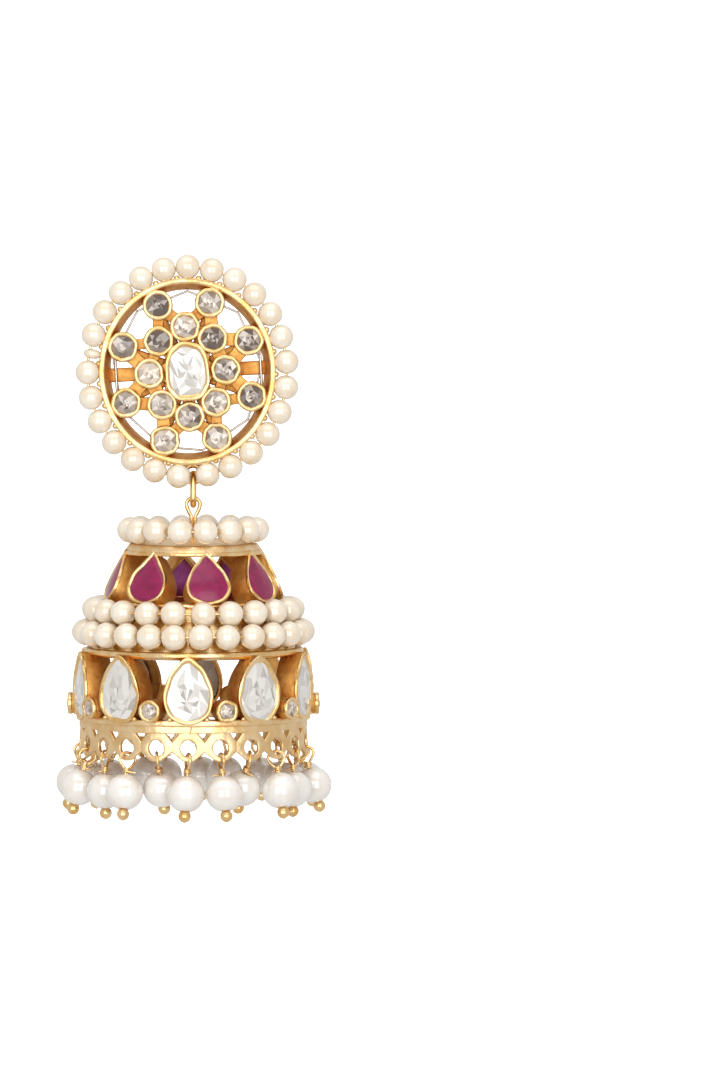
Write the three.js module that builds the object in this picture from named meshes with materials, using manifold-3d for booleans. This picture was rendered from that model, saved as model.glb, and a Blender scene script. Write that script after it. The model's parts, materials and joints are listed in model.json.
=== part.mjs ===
// Jhumka earring: an oval stud of small stones ringed with pearls, and a bell of ruby and polki boxes with a
// pierced band and hanging pearls. Millimetres, +Z up, the front of the earring faces -Y.
// The origin is the foot of the ear post, on the back of the stud's strap.
import * as THREE from "three";
import { mergeVertices } from "three/addons/utils/BufferGeometryUtils.js";
import Module from "manifold-3d";

// Gaps between separate pieces
const SEAT_GAP = 0.15;
const LINK_CLEARANCE = 0.2;

// Stud
const STUD_HALF_WIDTH = 11.72;
const STUD_HALF_HEIGHT = 12.42;
const STUD_WALL = 0.6;
const STUD_DEPTH = 2.9;
const STUD_BACK_INSET = 0.2;
const STUD_TURN_DEG = 3;
const STRAP_WIDTH = 1.9;
const STRAP_THICKNESS = 0.7;
const STRAP_SEAT_LENGTH = 3.8;
const STRAP_SEAT_SINK = 0.1;
const STRUT_WIDTH = 1.2;
const STRUT_THICKNESS = 0.8;
const STUD_SIDES = 32;

// Stud stones: rings of round collets about the centre box
const COLLET_DIAMETER = 3.9;
const COLLET_STONE_DIAMETER = 2.9;
const COLLET_STONE_RISE = 0.35;
const COLLET_STEP_FORWARD = 0.25;
const INNER_RING_HALF_WIDTH = 5.15;
const INNER_RING_HALF_HEIGHT = 6.05;
const OUTER_RING_HALF_WIDTH = 9.15;
const OUTER_RING_HALF_HEIGHT = 9.85;
const COLLETS_PER_RING = 8;
const CENTRE_BOX_WIDTH = 5.8;
const CENTRE_BOX_HEIGHT = 7.8;
const BOX_WALL = 0.38;
const STONE_THICKNESS = 0.9;
const STONE_TAPER = 0.25;
const TABLE_SLOPE = 1.6;

// Seed pearls
const SEED_PEARL_DIAMETER = 3.15;
const THREAD_DIAMETER = 0.7;
const STUD_PEARL_SPACING = 0.12;
const CHIP_WIDTH = 1.45;
const CHIP_AFTER_SHARE = 0.72;
const STUD_LOOP_OPENING = 0.7;

// Ear post
const POST_DIAMETER = 0.9;
const POST_LENGTH = 10;
const POST_PAD_DIAMETER = 3;
const POST_PAD_THICKNESS = 0.4;

// Loop, link and wire eye
const LINK_WIRE = 0.9;
const LINK_STRAIGHT = 2;
const LOOP_SINK = 0.25;
const EYE_WIRE = 0.55;
const EYE_STEM = 4.4;

// Bell cap and its ring of pearls
const CAP_RADIUS = 8.6;
const CAP_FALL = 0.75;
const CAP_THICKNESS = 0.5;
const CAP_RIM_RADIUS = 9.4;
const CAP_RIM_DROP = 0.9;
const CAP_RIM_HEIGHT = 0.6;
const TOP_RING_RADIUS = 8.74;
const TOP_RING_SPACING = 0.22;
const TOP_RING_FIRST_DEG = 10.4;

// Ruby tier
const RUBY_BOXES = 8;
const RUBY_FIRST_DEG = 10.4;
const RUBY_WIDTH = 5.9;
const RUBY_LENGTH = 6.95;
const RUBY_DEPTH = 3;
const RUBY_TILT_DEG = 22.9;
const RUBY_TOP_RADIUS = 9.3;
const RUBY_TUCK = 0.2;
const RUBY_RISE = 0.45;

// Cone with its two rows of pearls
const CONE_TOP_RADIUS = 11.05;
const CONE_TUCK = -0.25;
const CONE_TILT_DEG = 24.3;
const CONE_LENGTH = 7.6;
const CONE_WALL = 0.5;
const ROW_START = 1.83;
const ROW_SPACING = 0.26;
const RIM_RADIUS = 14.8;
const RIM_HEIGHT = 0.95;

// Polki tier
const POLKI_BOXES = 10;
const POLKI_FIRST_DEG = -2.6;
const POLKI_WIDTH = 6.5;
const POLKI_LENGTH = 8.7;
const POLKI_DEPTH = 3;
const POLKI_OVERHANG = 1;
const POLKI_TUCK = 0.25;
const POLKI_RISE = 0.3;
const SMALL_COLLET_DIAMETER = 2.7;
const SMALL_STONE_DIAMETER = 1.8;
const SMALL_STONE_RISE = 0.25;
const SMALL_COLLET_DEPTH = 2.9;
const SMALL_COLLET_PROUD = 1.1;

// Ledge and pierced band
const LEDGE_INNER_RADIUS = 13;
const LEDGE_THICKNESS = 0.85;
const LEDGE_TUCK = 0.4;
const BAND_TOP_RADIUS = 15.25;
const BAND_FLARE = 0.35;
const BAND_HEIGHT = 4.7;
const BAND_WALL = 0.6;
const BAND_CELLS = 22;
const BAND_FIRST_DEG = -2.7;
const HOLE_DIAMETER = 2.15;
const HOLE_DROP = 2.9;
const HOLE_SIDES = 8;
const TRIANGLE_HALF_WIDTH = 0.75;
const TRIANGLE_TOP = 1.05;
const TRIANGLE_HEIGHT = 1.2;
const NOTCH_HALF_WIDTH = 2.6;
const NOTCH_HEIGHT = 1.15;

// Hanging pearls
const DROP_PEARL_DIAMETER = 5;
const DROP_WIRE = 0.42;
const DROP_LOOP_HALF_WIDTH = 1.25;
const DROP_LOOP_HEIGHT = 2.85;
const DROP_BALL_DIAMETER = 1.55;
const DROP_GAP = 0.12;
const INNER_DROPS = 6;
const INNER_LEAN_DEG = 13;
const OUTER_LEAN_DEG = 2;
const TWIST_DEG = 30;

// Roundness of the faceted solids
const BEAD_SIDES = 10;
const COLLET_SIDES = 8;
const SHOULDER = 0.96;
const SHOULDER_REACH = 0.4;
const WIRE_SIDES = 6;
const THIN_WIRE_SIDES = 5;
const TURNED_SIDES = 18;
const ROW_SIDES = 22;

const GOLD = new THREE.MeshStandardMaterial({ color: "#d9a955", roughness: 0.32, metalness: 1 });
const PEARL = new THREE.MeshStandardMaterial({ color: "#f3e6d3", roughness: 0.22, metalness: 0 });
const WHITE_PEARL = new THREE.MeshStandardMaterial({ color: "#eceae6", roughness: 0.2, metalness: 0 });
const RUBY = new THREE.MeshStandardMaterial({ color: "#9a2c58", roughness: 0.12, metalness: 0 });
const POLKI = new THREE.MeshStandardMaterial({ color: "#e6e4de", roughness: 0.1, metalness: 0 });

const wasm = await Module();
wasm.setup();

const radians = THREE.MathUtils.degToRad;

// The most pieces of one size that fit along a length with at least the given space between them
function countAlong(length, size, spacing) {
  return Math.floor(length / (size + spacing));
}

// A closed geometry as a solid, with its faces turned outward
function solidOf(geometry) {
  const bare = geometry.index ? geometry.toNonIndexed() : geometry.clone();
  bare.deleteAttribute("normal");
  bare.deleteAttribute("uv");
  const merged = mergeVertices(bare, 1e-4);
  const spots = merged.attributes.position.array;
  const corner = (index) => new THREE.Vector3().fromArray(spots, 3 * index);
  const triangles = [];
  let volume = 0;
  for (let i = 0; i < merged.index.count; i += 3) {
    const [a, b, c] = merged.index.array.slice(i, i + 3);
    if (a === b || b === c || c === a) continue;
    triangles.push([a, b, c]);
    volume += corner(a).dot(corner(b).cross(corner(c)));
  }
  const facing = volume < 0 ? triangles.map(([a, b, c]) => [a, c, b]) : triangles;
  return new wasm.Manifold(new wasm.Mesh({
    numProp: 3,
    vertProperties: Float32Array.from(spots),
    triVerts: Uint32Array.from(facing.flat()),
  }));
}

// A solid's triangles as a geometry that a mesh can hold
function geometryOf(solid) {
  const mesh = solid.getMesh();
  const geometry = new THREE.BufferGeometry();
  geometry.setAttribute("position", new THREE.BufferAttribute(mesh.vertProperties, 3));
  geometry.setIndex(new THREE.BufferAttribute(mesh.triVerts, 1));
  const flat = geometry.toNonIndexed();
  flat.computeVertexNormals();
  return flat;
}

// Several closed geometries joined into one
function fused(geometries) {
  const solids = geometries.map(solidOf);
  return geometryOf(solids.reduce((whole, piece) => whole.add(piece)));
}

// One closed geometry with others cut out of it
function cutBy(geometry, cutters) {
  return geometryOf(cutters.reduce((whole, cutter) => whole.subtract(solidOf(cutter)), solidOf(geometry)));
}

// A matrix from the front of the Z axis to an angle round it: radius out, height up, the face tilted upward
function stationed(degrees, radius, height, tiltDegrees = 0) {
  return new THREE.Matrix4()
    .makeRotationZ(radians(degrees))
    .multiply(new THREE.Matrix4().makeTranslation(0, -radius, height))
    .multiply(new THREE.Matrix4().makeRotationX(-radians(tiltDegrees)));
}

// A copy of a geometry moved by a matrix
function moved(geometry, matrix) {
  return geometry.clone().applyMatrix4(matrix);
}

// A point round the Z axis, its angle measured from the front toward +X
function around(degrees, radius, height) {
  return new THREE.Vector3(radius * Math.sin(radians(degrees)), -radius * Math.cos(radians(degrees)), height);
}

// A profile of [radius, height] points turned about the Z axis
function turned(profile, sides) {
  const points = profile.map(([radius, height]) => new THREE.Vector2(radius, height));
  return new THREE.LatheGeometry(points, sides).rotateX(Math.PI / 2);
}

// A prism of an upright outline, from its front plane at -front to its back plane
function upright(outline, front, back, curveSegments = 12) {
  const shape = new THREE.Shape(outline.points);
  if (outline.hole) shape.holes.push(new THREE.Path(outline.hole));
  const slab = new THREE.ExtrudeGeometry(shape, { depth: back - front, bevelEnabled: false, curveSegments });
  return slab.rotateX(Math.PI / 2).translate(0, back, 0);
}

// A closed solid through equal rings of points, first to last, with flat ends
function lofted(rings) {
  const sides = rings[0].length;
  const steps = rings.length - 1;
  const geometry = new THREE.CylinderGeometry(1, 1, 1, sides, steps);
  const spots = geometry.attributes.position;
  const spot = new THREE.Vector3();
  for (let i = 0; i < spots.count; i += 1) {
    spot.fromBufferAttribute(spots, i);
    const ring = rings[Math.round((0.5 - spot.y) * steps)];
    const turn = Math.atan2(spot.x, spot.z) / (2 * Math.PI);
    const side = (Math.round(turn * sides) + sides) % sides;
    const onAxis = Math.hypot(spot.x, spot.z) < 0.5;
    const middle = ring.reduce((sum, point) => sum.add(point), new THREE.Vector3()).divideScalar(sides);
    const target = onAxis ? middle : ring[side];
    spots.setXYZ(i, target.x, target.y, target.z);
  }
  return geometry;
}

// A tube of one thickness along an open curve
function wireAlong(points, diameter, steps, sides) {
  const section = new THREE.Shape(circlePoints(diameter / 2, sides));
  return new THREE.ExtrudeGeometry(section, {
    steps,
    bevelEnabled: false,
    extrudePath: new THREE.CatmullRomCurve3(points),
  });
}

function circlePoints(radius, sides, startDegrees = 0) {
  return Array.from({ length: sides }, (_, i) => {
    const angle = radians(startDegrees) + (2 * Math.PI * i) / sides;
    return new THREE.Vector2(radius * Math.cos(angle), radius * Math.sin(angle));
  });
}

function ellipsePoints(halfWidth, halfHeight, sides) {
  return circlePoints(1, sides).map((point) => new THREE.Vector2(point.x * halfWidth, point.y * halfHeight));
}

// A drop-shaped outline, its point up: a circle and two tangents, drawn in by the inset
function teardropPoints(width, length, inset) {
  const radius = width / 2;
  const centre = radius - length / 2;
  const tip = length / 2 - centre;
  const tangent = 90 - THREE.MathUtils.radToDeg(Math.acos(radius / tip));
  const sweep = 180 + 2 * tangent;
  const arcSteps = 6;
  const shrink = 1 - inset / radius;
  const points = [new THREE.Vector2(0, centre + tip * shrink)];
  for (let i = 0; i <= arcSteps; i += 1) {
    const angle = radians(180 - tangent + (sweep * i) / arcSteps);
    points.push(new THREE.Vector2(
      radius * shrink * Math.cos(angle),
      centre + radius * shrink * Math.sin(angle),
    ));
  }
  return points;
}

// A rounded upright rectangle with cut corners
function octagonPoints(width, height, corner, inset) {
  const x = width / 2 - inset;
  const z = height / 2 - inset;
  const cut = corner - inset * (2 - Math.SQRT2);
  return [
    [x, z - cut], [x - cut, z], [cut - x, z], [-x, z - cut],
    [-x, cut - z], [cut - x, -z], [x - cut, -z], [x, cut - z],
  ].map(([across, up]) => new THREE.Vector2(across, up));
}

// An open box setting: a wall round the stone, open behind it, facing -Y from the plane y = 0
function openBox(outlineAt, depth) {
  return upright({ points: outlineAt(0), hole: outlineAt(BOX_WALL) }, 0, depth);
}

// A stone with a table and a ring of facets, seated in an open box
function boxStone(outlineAt, rise) {
  const level = (inset, y) => outlineAt(inset).map((point) => new THREE.Vector3(point.x, y, point.y));
  const girdle = BOX_WALL + SEAT_GAP;
  const table = girdle + rise * TABLE_SLOPE;
  return lofted([level(table, -rise), level(girdle, 0), level(girdle + STONE_TAPER, STONE_THICKNESS)]);
}

// A round collet with its stone, facing -Y from the plane y = 0
function collet(diameter, stoneDiameter, rise, depth) {
  const outer = diameter / 2;
  const stone = stoneDiameter / 2;
  return turned([
    [0, -depth], [outer, -depth], [outer, 0], [stone, 0], [stone * 0.6, rise], [0, rise],
  ], COLLET_SIDES).rotateX(Math.PI / 2);
}

// A string of beads through stations { centre, along, out, radius }, joined by its thread
function beadString(stations) {
  const rings = [];
  const ringAt = (station, offset, radius) => {
    const side = new THREE.Vector3().crossVectors(station.along, station.out);
    return circlePoints(radius, BEAD_SIDES).map((point) => station.centre.clone()
      .addScaledVector(station.along, offset)
      .addScaledVector(station.out, point.x)
      .addScaledVector(side, point.y));
  };
  const neck = THREE.MathUtils.clamp(THREAD_DIAMETER / 2, 0, SEED_PEARL_DIAMETER / 3);
  for (const station of stations) {
    const radius = station.radius;
    const shoulder = SHOULDER * radius;
    const end = Math.sqrt(Math.max(radius * radius - neck * neck, 0));
    if (rings.length === 0) rings.push(ringAt(station, -end, neck));
    rings.push(ringAt(station, -SHOULDER_REACH * radius, shoulder));
    rings.push(ringAt(station, SHOULDER_REACH * radius, shoulder));
    rings.push(ringAt(station, end, neck));
  }
  return lofted(rings);
}

// Beads evenly round the Z axis
function pearlRing(radius, height, spacing, firstDegrees) {
  const count = countAlong(2 * Math.PI * radius, SEED_PEARL_DIAMETER, spacing);
  const stations = Array.from({ length: count }, (_, i) => {
    const degrees = firstDegrees + (360 * i) / count;
    return {
      centre: around(degrees, radius, height),
      along: around(degrees + 90, 1, 0),
      out: around(degrees, 1, 0),
      radius: SEED_PEARL_DIAMETER / 2,
    };
  });
  return beadString(stations);
}

// A smooth ring in the place of a close row of pearls, as thick as its pearls
function pearlRow(radius, height) {
  return new THREE.TorusGeometry(radius, SEED_PEARL_DIAMETER / 2, BEAD_SIDES, ROW_SIDES).translate(0, 0, height);
}

const pieces = new THREE.Group();
const stud = new THREE.Group();
const hanging = new THREE.Group();
pieces.add(stud, hanging);

function addPiece(group, name, geometry, material) {
  const mesh = new THREE.Mesh(geometryOf(solidOf(geometry)), material);
  mesh.name = name;
  group.add(mesh);
  return mesh;
}

// Stud: places worked out from its sizes
const studFront = -(STUD_BACK_INSET + STUD_DEPTH);
const loopRadius = LINK_WIRE + LINK_CLEARANCE + SEAT_GAP / 3;
const loopDrop = STUD_HALF_HEIGHT + LINK_WIRE / 2 - LOOP_SINK + loopRadius;
const loopY = -0.1;
const colletDepth = STUD_DEPTH - STRAP_THICKNESS + STUD_BACK_INSET;
const seedRadius = SEED_PEARL_DIAMETER / 2;
const studPearlY = loopY - LINK_WIRE / 2 - SEAT_GAP - seedRadius;

// A collet of the stud: ring 0 is the inner one, and each ring toward the middle stands a little further out
function studCollet(degrees, halfWidth, halfHeight, forward) {
  const geometry = collet(COLLET_DIAMETER, COLLET_STONE_DIAMETER, COLLET_STONE_RISE, colletDepth + forward);
  const x = halfWidth * Math.cos(radians(degrees));
  const z = halfHeight * Math.sin(radians(degrees));
  return geometry.translate(x, studFront - forward, z);
}

function centreOutline(inset) {
  return octagonPoints(CENTRE_BOX_WIDTH, CENTRE_BOX_HEIGHT, CENTRE_BOX_WIDTH * 0.3, inset);
}

function studFrame() {
  const ring = upright({
    points: ellipsePoints(STUD_HALF_WIDTH, STUD_HALF_HEIGHT, STUD_SIDES),
    hole: ellipsePoints(STUD_HALF_WIDTH - STUD_WALL, STUD_HALF_HEIGHT - STUD_WALL, STUD_SIDES),
  }, studFront, -STUD_BACK_INSET);
  const centreFront = studFront - 2 * COLLET_STEP_FORWARD;
  const centreBox = openBox(centreOutline, -centreFront - STRAP_THICKNESS / 2).translate(0, centreFront, 0);
  const strapLength = 2 * (STUD_HALF_WIDTH - STUD_WALL / 2);
  const strap = cutBy(
    new THREE.BoxGeometry(strapLength, STRAP_THICKNESS, STRAP_WIDTH).translate(0, -STRAP_THICKNESS / 2, 0),
    [new THREE.BoxGeometry(STRAP_SEAT_LENGTH, 2 * STRAP_SEAT_SINK, 2 * STRAP_WIDTH)],
  );
  const loop = new THREE.TorusGeometry(loopRadius, LINK_WIRE / 2, WIRE_SIDES, BEAD_SIDES)
    .rotateX(Math.PI / 2)
    .translate(0, loopY, -loopDrop);
  const parts = [ring, centreBox, strap, loop];
  for (let i = 0; i < COLLETS_PER_RING; i += 1) {
    const step = 360 / COLLETS_PER_RING;
    const inner = i * step;
    const outer = inner + step / 2;
    parts.push(studCollet(inner, INNER_RING_HALF_WIDTH, INNER_RING_HALF_HEIGHT, COLLET_STEP_FORWARD));
    parts.push(studCollet(outer, OUTER_RING_HALF_WIDTH, OUTER_RING_HALF_HEIGHT, 0));
    parts.push(strut(outer));
  }
  return fused(parts);
}

// A solder strut from the centre box to the ring
function strut(degrees) {
  const start = CENTRE_BOX_WIDTH / 2;
  const end = 1 / Math.hypot(
    Math.cos(radians(degrees)) / (STUD_HALF_WIDTH - STUD_WALL / 2),
    Math.sin(radians(degrees)) / (STUD_HALF_HEIGHT - STUD_WALL / 2),
  );
  return new THREE.BoxGeometry(end - start, STRUT_THICKNESS, STRUT_WIDTH)
    .translate((start + end) / 2, -STRAP_THICKNESS - STRUT_THICKNESS / 2 + 0.2, 0)
    .rotateY(-radians(degrees));
}

// The stud's string of pearls: it starts and ends beside the bottom loop, and holds one chipped pearl
function studPearls() {
  const halfWidth = STUD_HALF_WIDTH + SEAT_GAP + seedRadius;
  const halfHeight = STUD_HALF_HEIGHT + SEAT_GAP + seedRadius;
  const girth = Math.PI * Math.sqrt(2 * (halfWidth ** 2 + halfHeight ** 2));
  const count = countAlong(girth - CHIP_WIDTH - STUD_LOOP_OPENING, SEED_PEARL_DIAMETER, STUD_PEARL_SPACING);
  const slack = girth - CHIP_WIDTH - STUD_LOOP_OPENING - count * SEED_PEARL_DIAMETER;
  const gap = slack / (count + 1);
  const chipAfter = Math.round(count * CHIP_AFTER_SHARE);
  const stations = [];
  let reach = STUD_LOOP_OPENING / 2 + gap / 2;
  const place = (width) => {
    const angle = radians(-90 + (360 * (reach + width / 2)) / girth);
    const out = new THREE.Vector3(Math.cos(angle), 0, Math.sin(angle));
    stations.push({
      centre: new THREE.Vector3(halfWidth * out.x, studPearlY, halfHeight * out.z),
      along: new THREE.Vector3(-out.z, 0, out.x),
      out,
      radius: width / 2,
    });
    reach += width + gap;
  };
  for (let i = 0; i < count; i += 1) {
    if (i === chipAfter) place(CHIP_WIDTH);
    place(SEED_PEARL_DIAMETER);
  }
  return beadString(stations);
}

function earPost() {
  const foot = SEAT_GAP;
  const pad = foot + POST_PAD_THICKNESS;
  const end = foot + POST_LENGTH;
  const pin = POST_DIAMETER / 2;
  return turned([
    [0, foot], [POST_PAD_DIAMETER / 2, foot], [POST_PAD_DIAMETER / 2, pad], [pin, pad],
    [pin, end - pin], [pin * 0.4, end], [0, end],
  ], BEAD_SIDES).rotateX(-Math.PI / 2);
}

addPiece(stud, "stud_frame", studFrame(), GOLD);
addPiece(stud, "centre_stone", boxStone(centreOutline, POLKI_RISE)
  .translate(0, studFront - 2 * COLLET_STEP_FORWARD, 0), POLKI);
addPiece(stud, "stud_pearls", studPearls(), PEARL);
addPiece(stud, "ear_post", earPost(), GOLD);
stud.rotation.y = -radians(STUD_TURN_DEG);

// Link: its top arc turns about the loop's bottom wire, its bottom wire carries the eye
const linkArc = LINK_WIRE + LINK_CLEARANCE;
const loopWire = new THREE.Vector3(0, loopY, -loopDrop - loopRadius)
  .applyAxisAngle(new THREE.Vector3(0, 1, 0), -radians(STUD_TURN_DEG));
const eyeHinge = new THREE.Vector3(loopWire.x, loopWire.y, loopWire.z - LINK_STRAIGHT - linkArc);

// A ring in the plane x = 0, drawn out downward from its top arc's centre
function hangingLink() {
  const ring = new THREE.TorusGeometry(linkArc, LINK_WIRE / 2, WIRE_SIDES, BEAD_SIDES)
    .rotateZ(Math.PI / BEAD_SIDES)
    .rotateX(Math.PI / 2)
    .rotateZ(Math.PI / 2);
  const spots = ring.attributes.position;
  for (let i = 0; i < spots.count; i += 1) {
    const height = spots.getZ(i);
    if (height < 0) spots.setZ(i, height - LINK_STRAIGHT);
  }
  return ring.translate(loopWire.x, loopWire.y, loopWire.z);
}

addPiece(pieces, "hanging_link", hangingLink(), GOLD);

// Bell: heights below the eye's hinge, worked out from the top down
hanging.position.copy(eyeHinge);
const capEdgeHeight = -EYE_STEM - CAP_FALL;
const capRimTop = capEdgeHeight - CAP_RIM_DROP;
const capRimBottom = capRimTop - CAP_RIM_HEIGHT;
const topRingHeight = capEdgeHeight + seedRadius + SEAT_GAP + 0.08;

const rubyTilt = radians(RUBY_TILT_DEG);
const rubyTop = capRimBottom + RUBY_TUCK;
const rubyMidHeight = rubyTop - (RUBY_LENGTH / 2) * Math.cos(rubyTilt);
const rubyMidRadius = RUBY_TOP_RADIUS + (RUBY_LENGTH / 2) * Math.sin(rubyTilt);
const rubyBottom = rubyTop - RUBY_LENGTH * Math.cos(rubyTilt);

const coneTilt = radians(CONE_TILT_DEG);
const coneTop = rubyBottom + CONE_TUCK;
const coneAt = (along, off) => [
  CONE_TOP_RADIUS + along * Math.sin(coneTilt) + off * Math.cos(coneTilt),
  coneTop - along * Math.cos(coneTilt) + off * Math.sin(coneTilt),
];
const rowOff = seedRadius + SEAT_GAP;
const lowerRowStart = ROW_START + SEED_PEARL_DIAMETER + ROW_SPACING;
const coneBottom = coneAt(CONE_LENGTH, 0)[1];
const rimTop = coneBottom + RIM_HEIGHT;

const polkiTop = coneBottom + POLKI_TUCK;
const polkiMid = polkiTop - POLKI_LENGTH / 2;
const polkiBottom = polkiTop - POLKI_LENGTH;
const polkiRadius = RIM_RADIUS + POLKI_OVERHANG;
const smallRadius = polkiRadius + SMALL_COLLET_PROUD;

const ledgeTop = polkiBottom + LEDGE_TUCK;
const bandTop = ledgeTop - LEDGE_THICKNESS;
const bandBottom = bandTop - BAND_HEIGHT;
const holeHeight = bandTop - HOLE_DROP;
const smallHeight = ledgeTop + SMALL_COLLET_DIAMETER / 2 - 0.1;
const bandFlat = Math.cos(Math.PI / BAND_CELLS);
const bandRadiusAt = (height) => BAND_TOP_RADIUS + (BAND_FLARE * (bandTop - height)) / BAND_HEIGHT;

const rubyOutline = (inset) => teardropPoints(RUBY_WIDTH, RUBY_LENGTH, inset);
const polkiOutline = (inset) => teardropPoints(POLKI_WIDTH, POLKI_LENGTH, inset);
const rubyStation = (i) => stationed(
  RUBY_FIRST_DEG + (360 * i) / RUBY_BOXES, rubyMidRadius, rubyMidHeight, RUBY_TILT_DEG,
);
const polkiStation = (i) => stationed(POLKI_FIRST_DEG + (360 * i) / POLKI_BOXES, polkiRadius, polkiMid);
const smallStation = (i) => stationed(
  POLKI_FIRST_DEG + (360 * (i + 0.5)) / POLKI_BOXES, smallRadius, smallHeight,
);
const repeated = (count, make) => Array.from({ length: count }, (_, i) => make(i));

// The wire eye: a loop about the link's bottom wire whose two strands run down side by side into the cap
function wireEye() {
  const bend = (LINK_WIRE + EYE_WIRE) / 2 + LINK_CLEARANCE;
  const strand = EYE_WIRE * 0.46;
  const half = [
    [0, bend], [bend * 0.72, bend * 0.7], [bend, 0], [bend * 0.62, -bend * 1.1],
    [strand, -bend * 1.9], [strand, -EYE_STEM - CAP_THICKNESS / 2],
  ];
  const side = (sign, rows) => rows.map(([x, z]) => new THREE.Vector3(sign * x, 0, z));
  return wireAlong([...side(-1, half.slice(1)).reverse(), ...side(1, half)], EYE_WIRE, 14, WIRE_SIDES);
}

function cap() {
  return turned([
    [0, -EYE_STEM], [CAP_RADIUS, capEdgeHeight], [CAP_RIM_RADIUS, capRimTop], [CAP_RIM_RADIUS, capRimBottom],
    [CAP_RADIUS - CAP_THICKNESS, capRimBottom], [CAP_RADIUS - CAP_THICKNESS, capEdgeHeight - CAP_THICKNESS],
    [0, -EYE_STEM - CAP_THICKNESS],
  ], TURNED_SIDES);
}

function cone() {
  const rimInner = coneAt(CONE_LENGTH, -CONE_WALL);
  return turned([
    coneAt(0, 0), [coneAt((coneTop - rimTop) / Math.cos(coneTilt), 0)[0], rimTop], [RIM_RADIUS, rimTop],
    [RIM_RADIUS, coneBottom], rimInner, coneAt(0, -CONE_WALL), coneAt(0, 0),
  ], TURNED_SIDES);
}

// A radial prism of a flat outline, from inside the band to outside it
function radialCutter(points, degrees, height) {
  const radius = bandRadiusAt(bandBottom) + 1;
  return moved(upright({ points }, 0, BAND_WALL + BAND_FLARE + 2.5), stationed(degrees, radius, height));
}

// The ledge under the boxes and the pierced band below it, one flat facet to each round hole
function piercedBand() {
  const band = turned([
    [LEDGE_INNER_RADIUS, ledgeTop], [polkiRadius, ledgeTop], [polkiRadius, bandTop],
    [BAND_TOP_RADIUS, bandTop], [bandRadiusAt(bandBottom), bandBottom],
    [bandRadiusAt(bandBottom) - BAND_WALL, bandBottom], [BAND_TOP_RADIUS - BAND_WALL, bandTop],
    [LEDGE_INNER_RADIUS, bandTop], [LEDGE_INNER_RADIUS, ledgeTop],
  ], BAND_CELLS);
  const half = 180 / BAND_CELLS;
  const facet = (HOLE_DIAMETER / 2) / Math.cos(Math.PI / HOLE_SIDES);
  const triangle = [[-TRIANGLE_HALF_WIDTH, 0], [0, -TRIANGLE_HEIGHT], [TRIANGLE_HALF_WIDTH, 0]]
    .map(([x, z]) => new THREE.Vector2(x, z));
  const notch = [[-NOTCH_HALF_WIDTH, -NOTCH_HEIGHT], [NOTCH_HALF_WIDTH, -NOTCH_HEIGHT], [0, NOTCH_HEIGHT]]
    .map(([x, z]) => new THREE.Vector2(x, z));
  const cutters = [];
  for (let i = 0; i < BAND_CELLS; i += 1) {
    const degrees = BAND_FIRST_DEG + (360 * i) / BAND_CELLS;
    cutters.push(radialCutter(circlePoints(facet, HOLE_SIDES, 180 / HOLE_SIDES), degrees, holeHeight));
    cutters.push(radialCutter(triangle, degrees + half, bandTop - TRIANGLE_TOP));
    cutters.push(radialCutter(notch, degrees + half, bandBottom));
  }
  return cutBy(band.rotateZ(radians(BAND_FIRST_DEG + half)), cutters);
}

function bellFrame() {
  const rubyBox = openBox(rubyOutline, RUBY_DEPTH);
  const polkiBox = openBox(polkiOutline, POLKI_DEPTH);
  const small = collet(SMALL_COLLET_DIAMETER, SMALL_STONE_DIAMETER, SMALL_STONE_RISE, SMALL_COLLET_DEPTH);
  return fused([
    cap(), wireEye(), cone(), piercedBand(),
    ...repeated(RUBY_BOXES, (i) => moved(rubyBox, rubyStation(i))),
    ...repeated(POLKI_BOXES, (i) => moved(polkiBox, polkiStation(i))),
    ...repeated(POLKI_BOXES, (i) => moved(small, smallStation(i))),
  ]);
}

addPiece(hanging, "bell_frame", bellFrame(), GOLD);
addPiece(hanging, "top_pearls", pearlRing(TOP_RING_RADIUS, topRingHeight, TOP_RING_SPACING, TOP_RING_FIRST_DEG), PEARL);
addPiece(hanging, "upper_pearls", pearlRow(...coneAt(ROW_START, rowOff)), PEARL);
addPiece(hanging, "lower_pearls", pearlRow(...coneAt(lowerRowStart, rowOff)), PEARL);
const rubyStone = boxStone(rubyOutline, RUBY_RISE);
const polkiStone = boxStone(polkiOutline, POLKI_RISE);
repeated(RUBY_BOXES, (i) => addPiece(hanging, `ruby_${i + 1}`, moved(rubyStone, rubyStation(i)), RUBY));
repeated(POLKI_BOXES, (i) => addPiece(hanging, `polki_${i + 1}`, moved(polkiStone, polkiStation(i)), POLKI));

// Hanging pearls: each hangs from the bottom edge of its hole
const pivotHeight = holeHeight - HOLE_DIAMETER / 2 + DROP_WIRE / 2 + DROP_GAP;
const pivotRadius = (bandRadiusAt(pivotHeight) - BAND_WALL / 2) * bandFlat;
const dropReach = DROP_LOOP_HEIGHT + DROP_PEARL_DIAMETER / 2;

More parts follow.
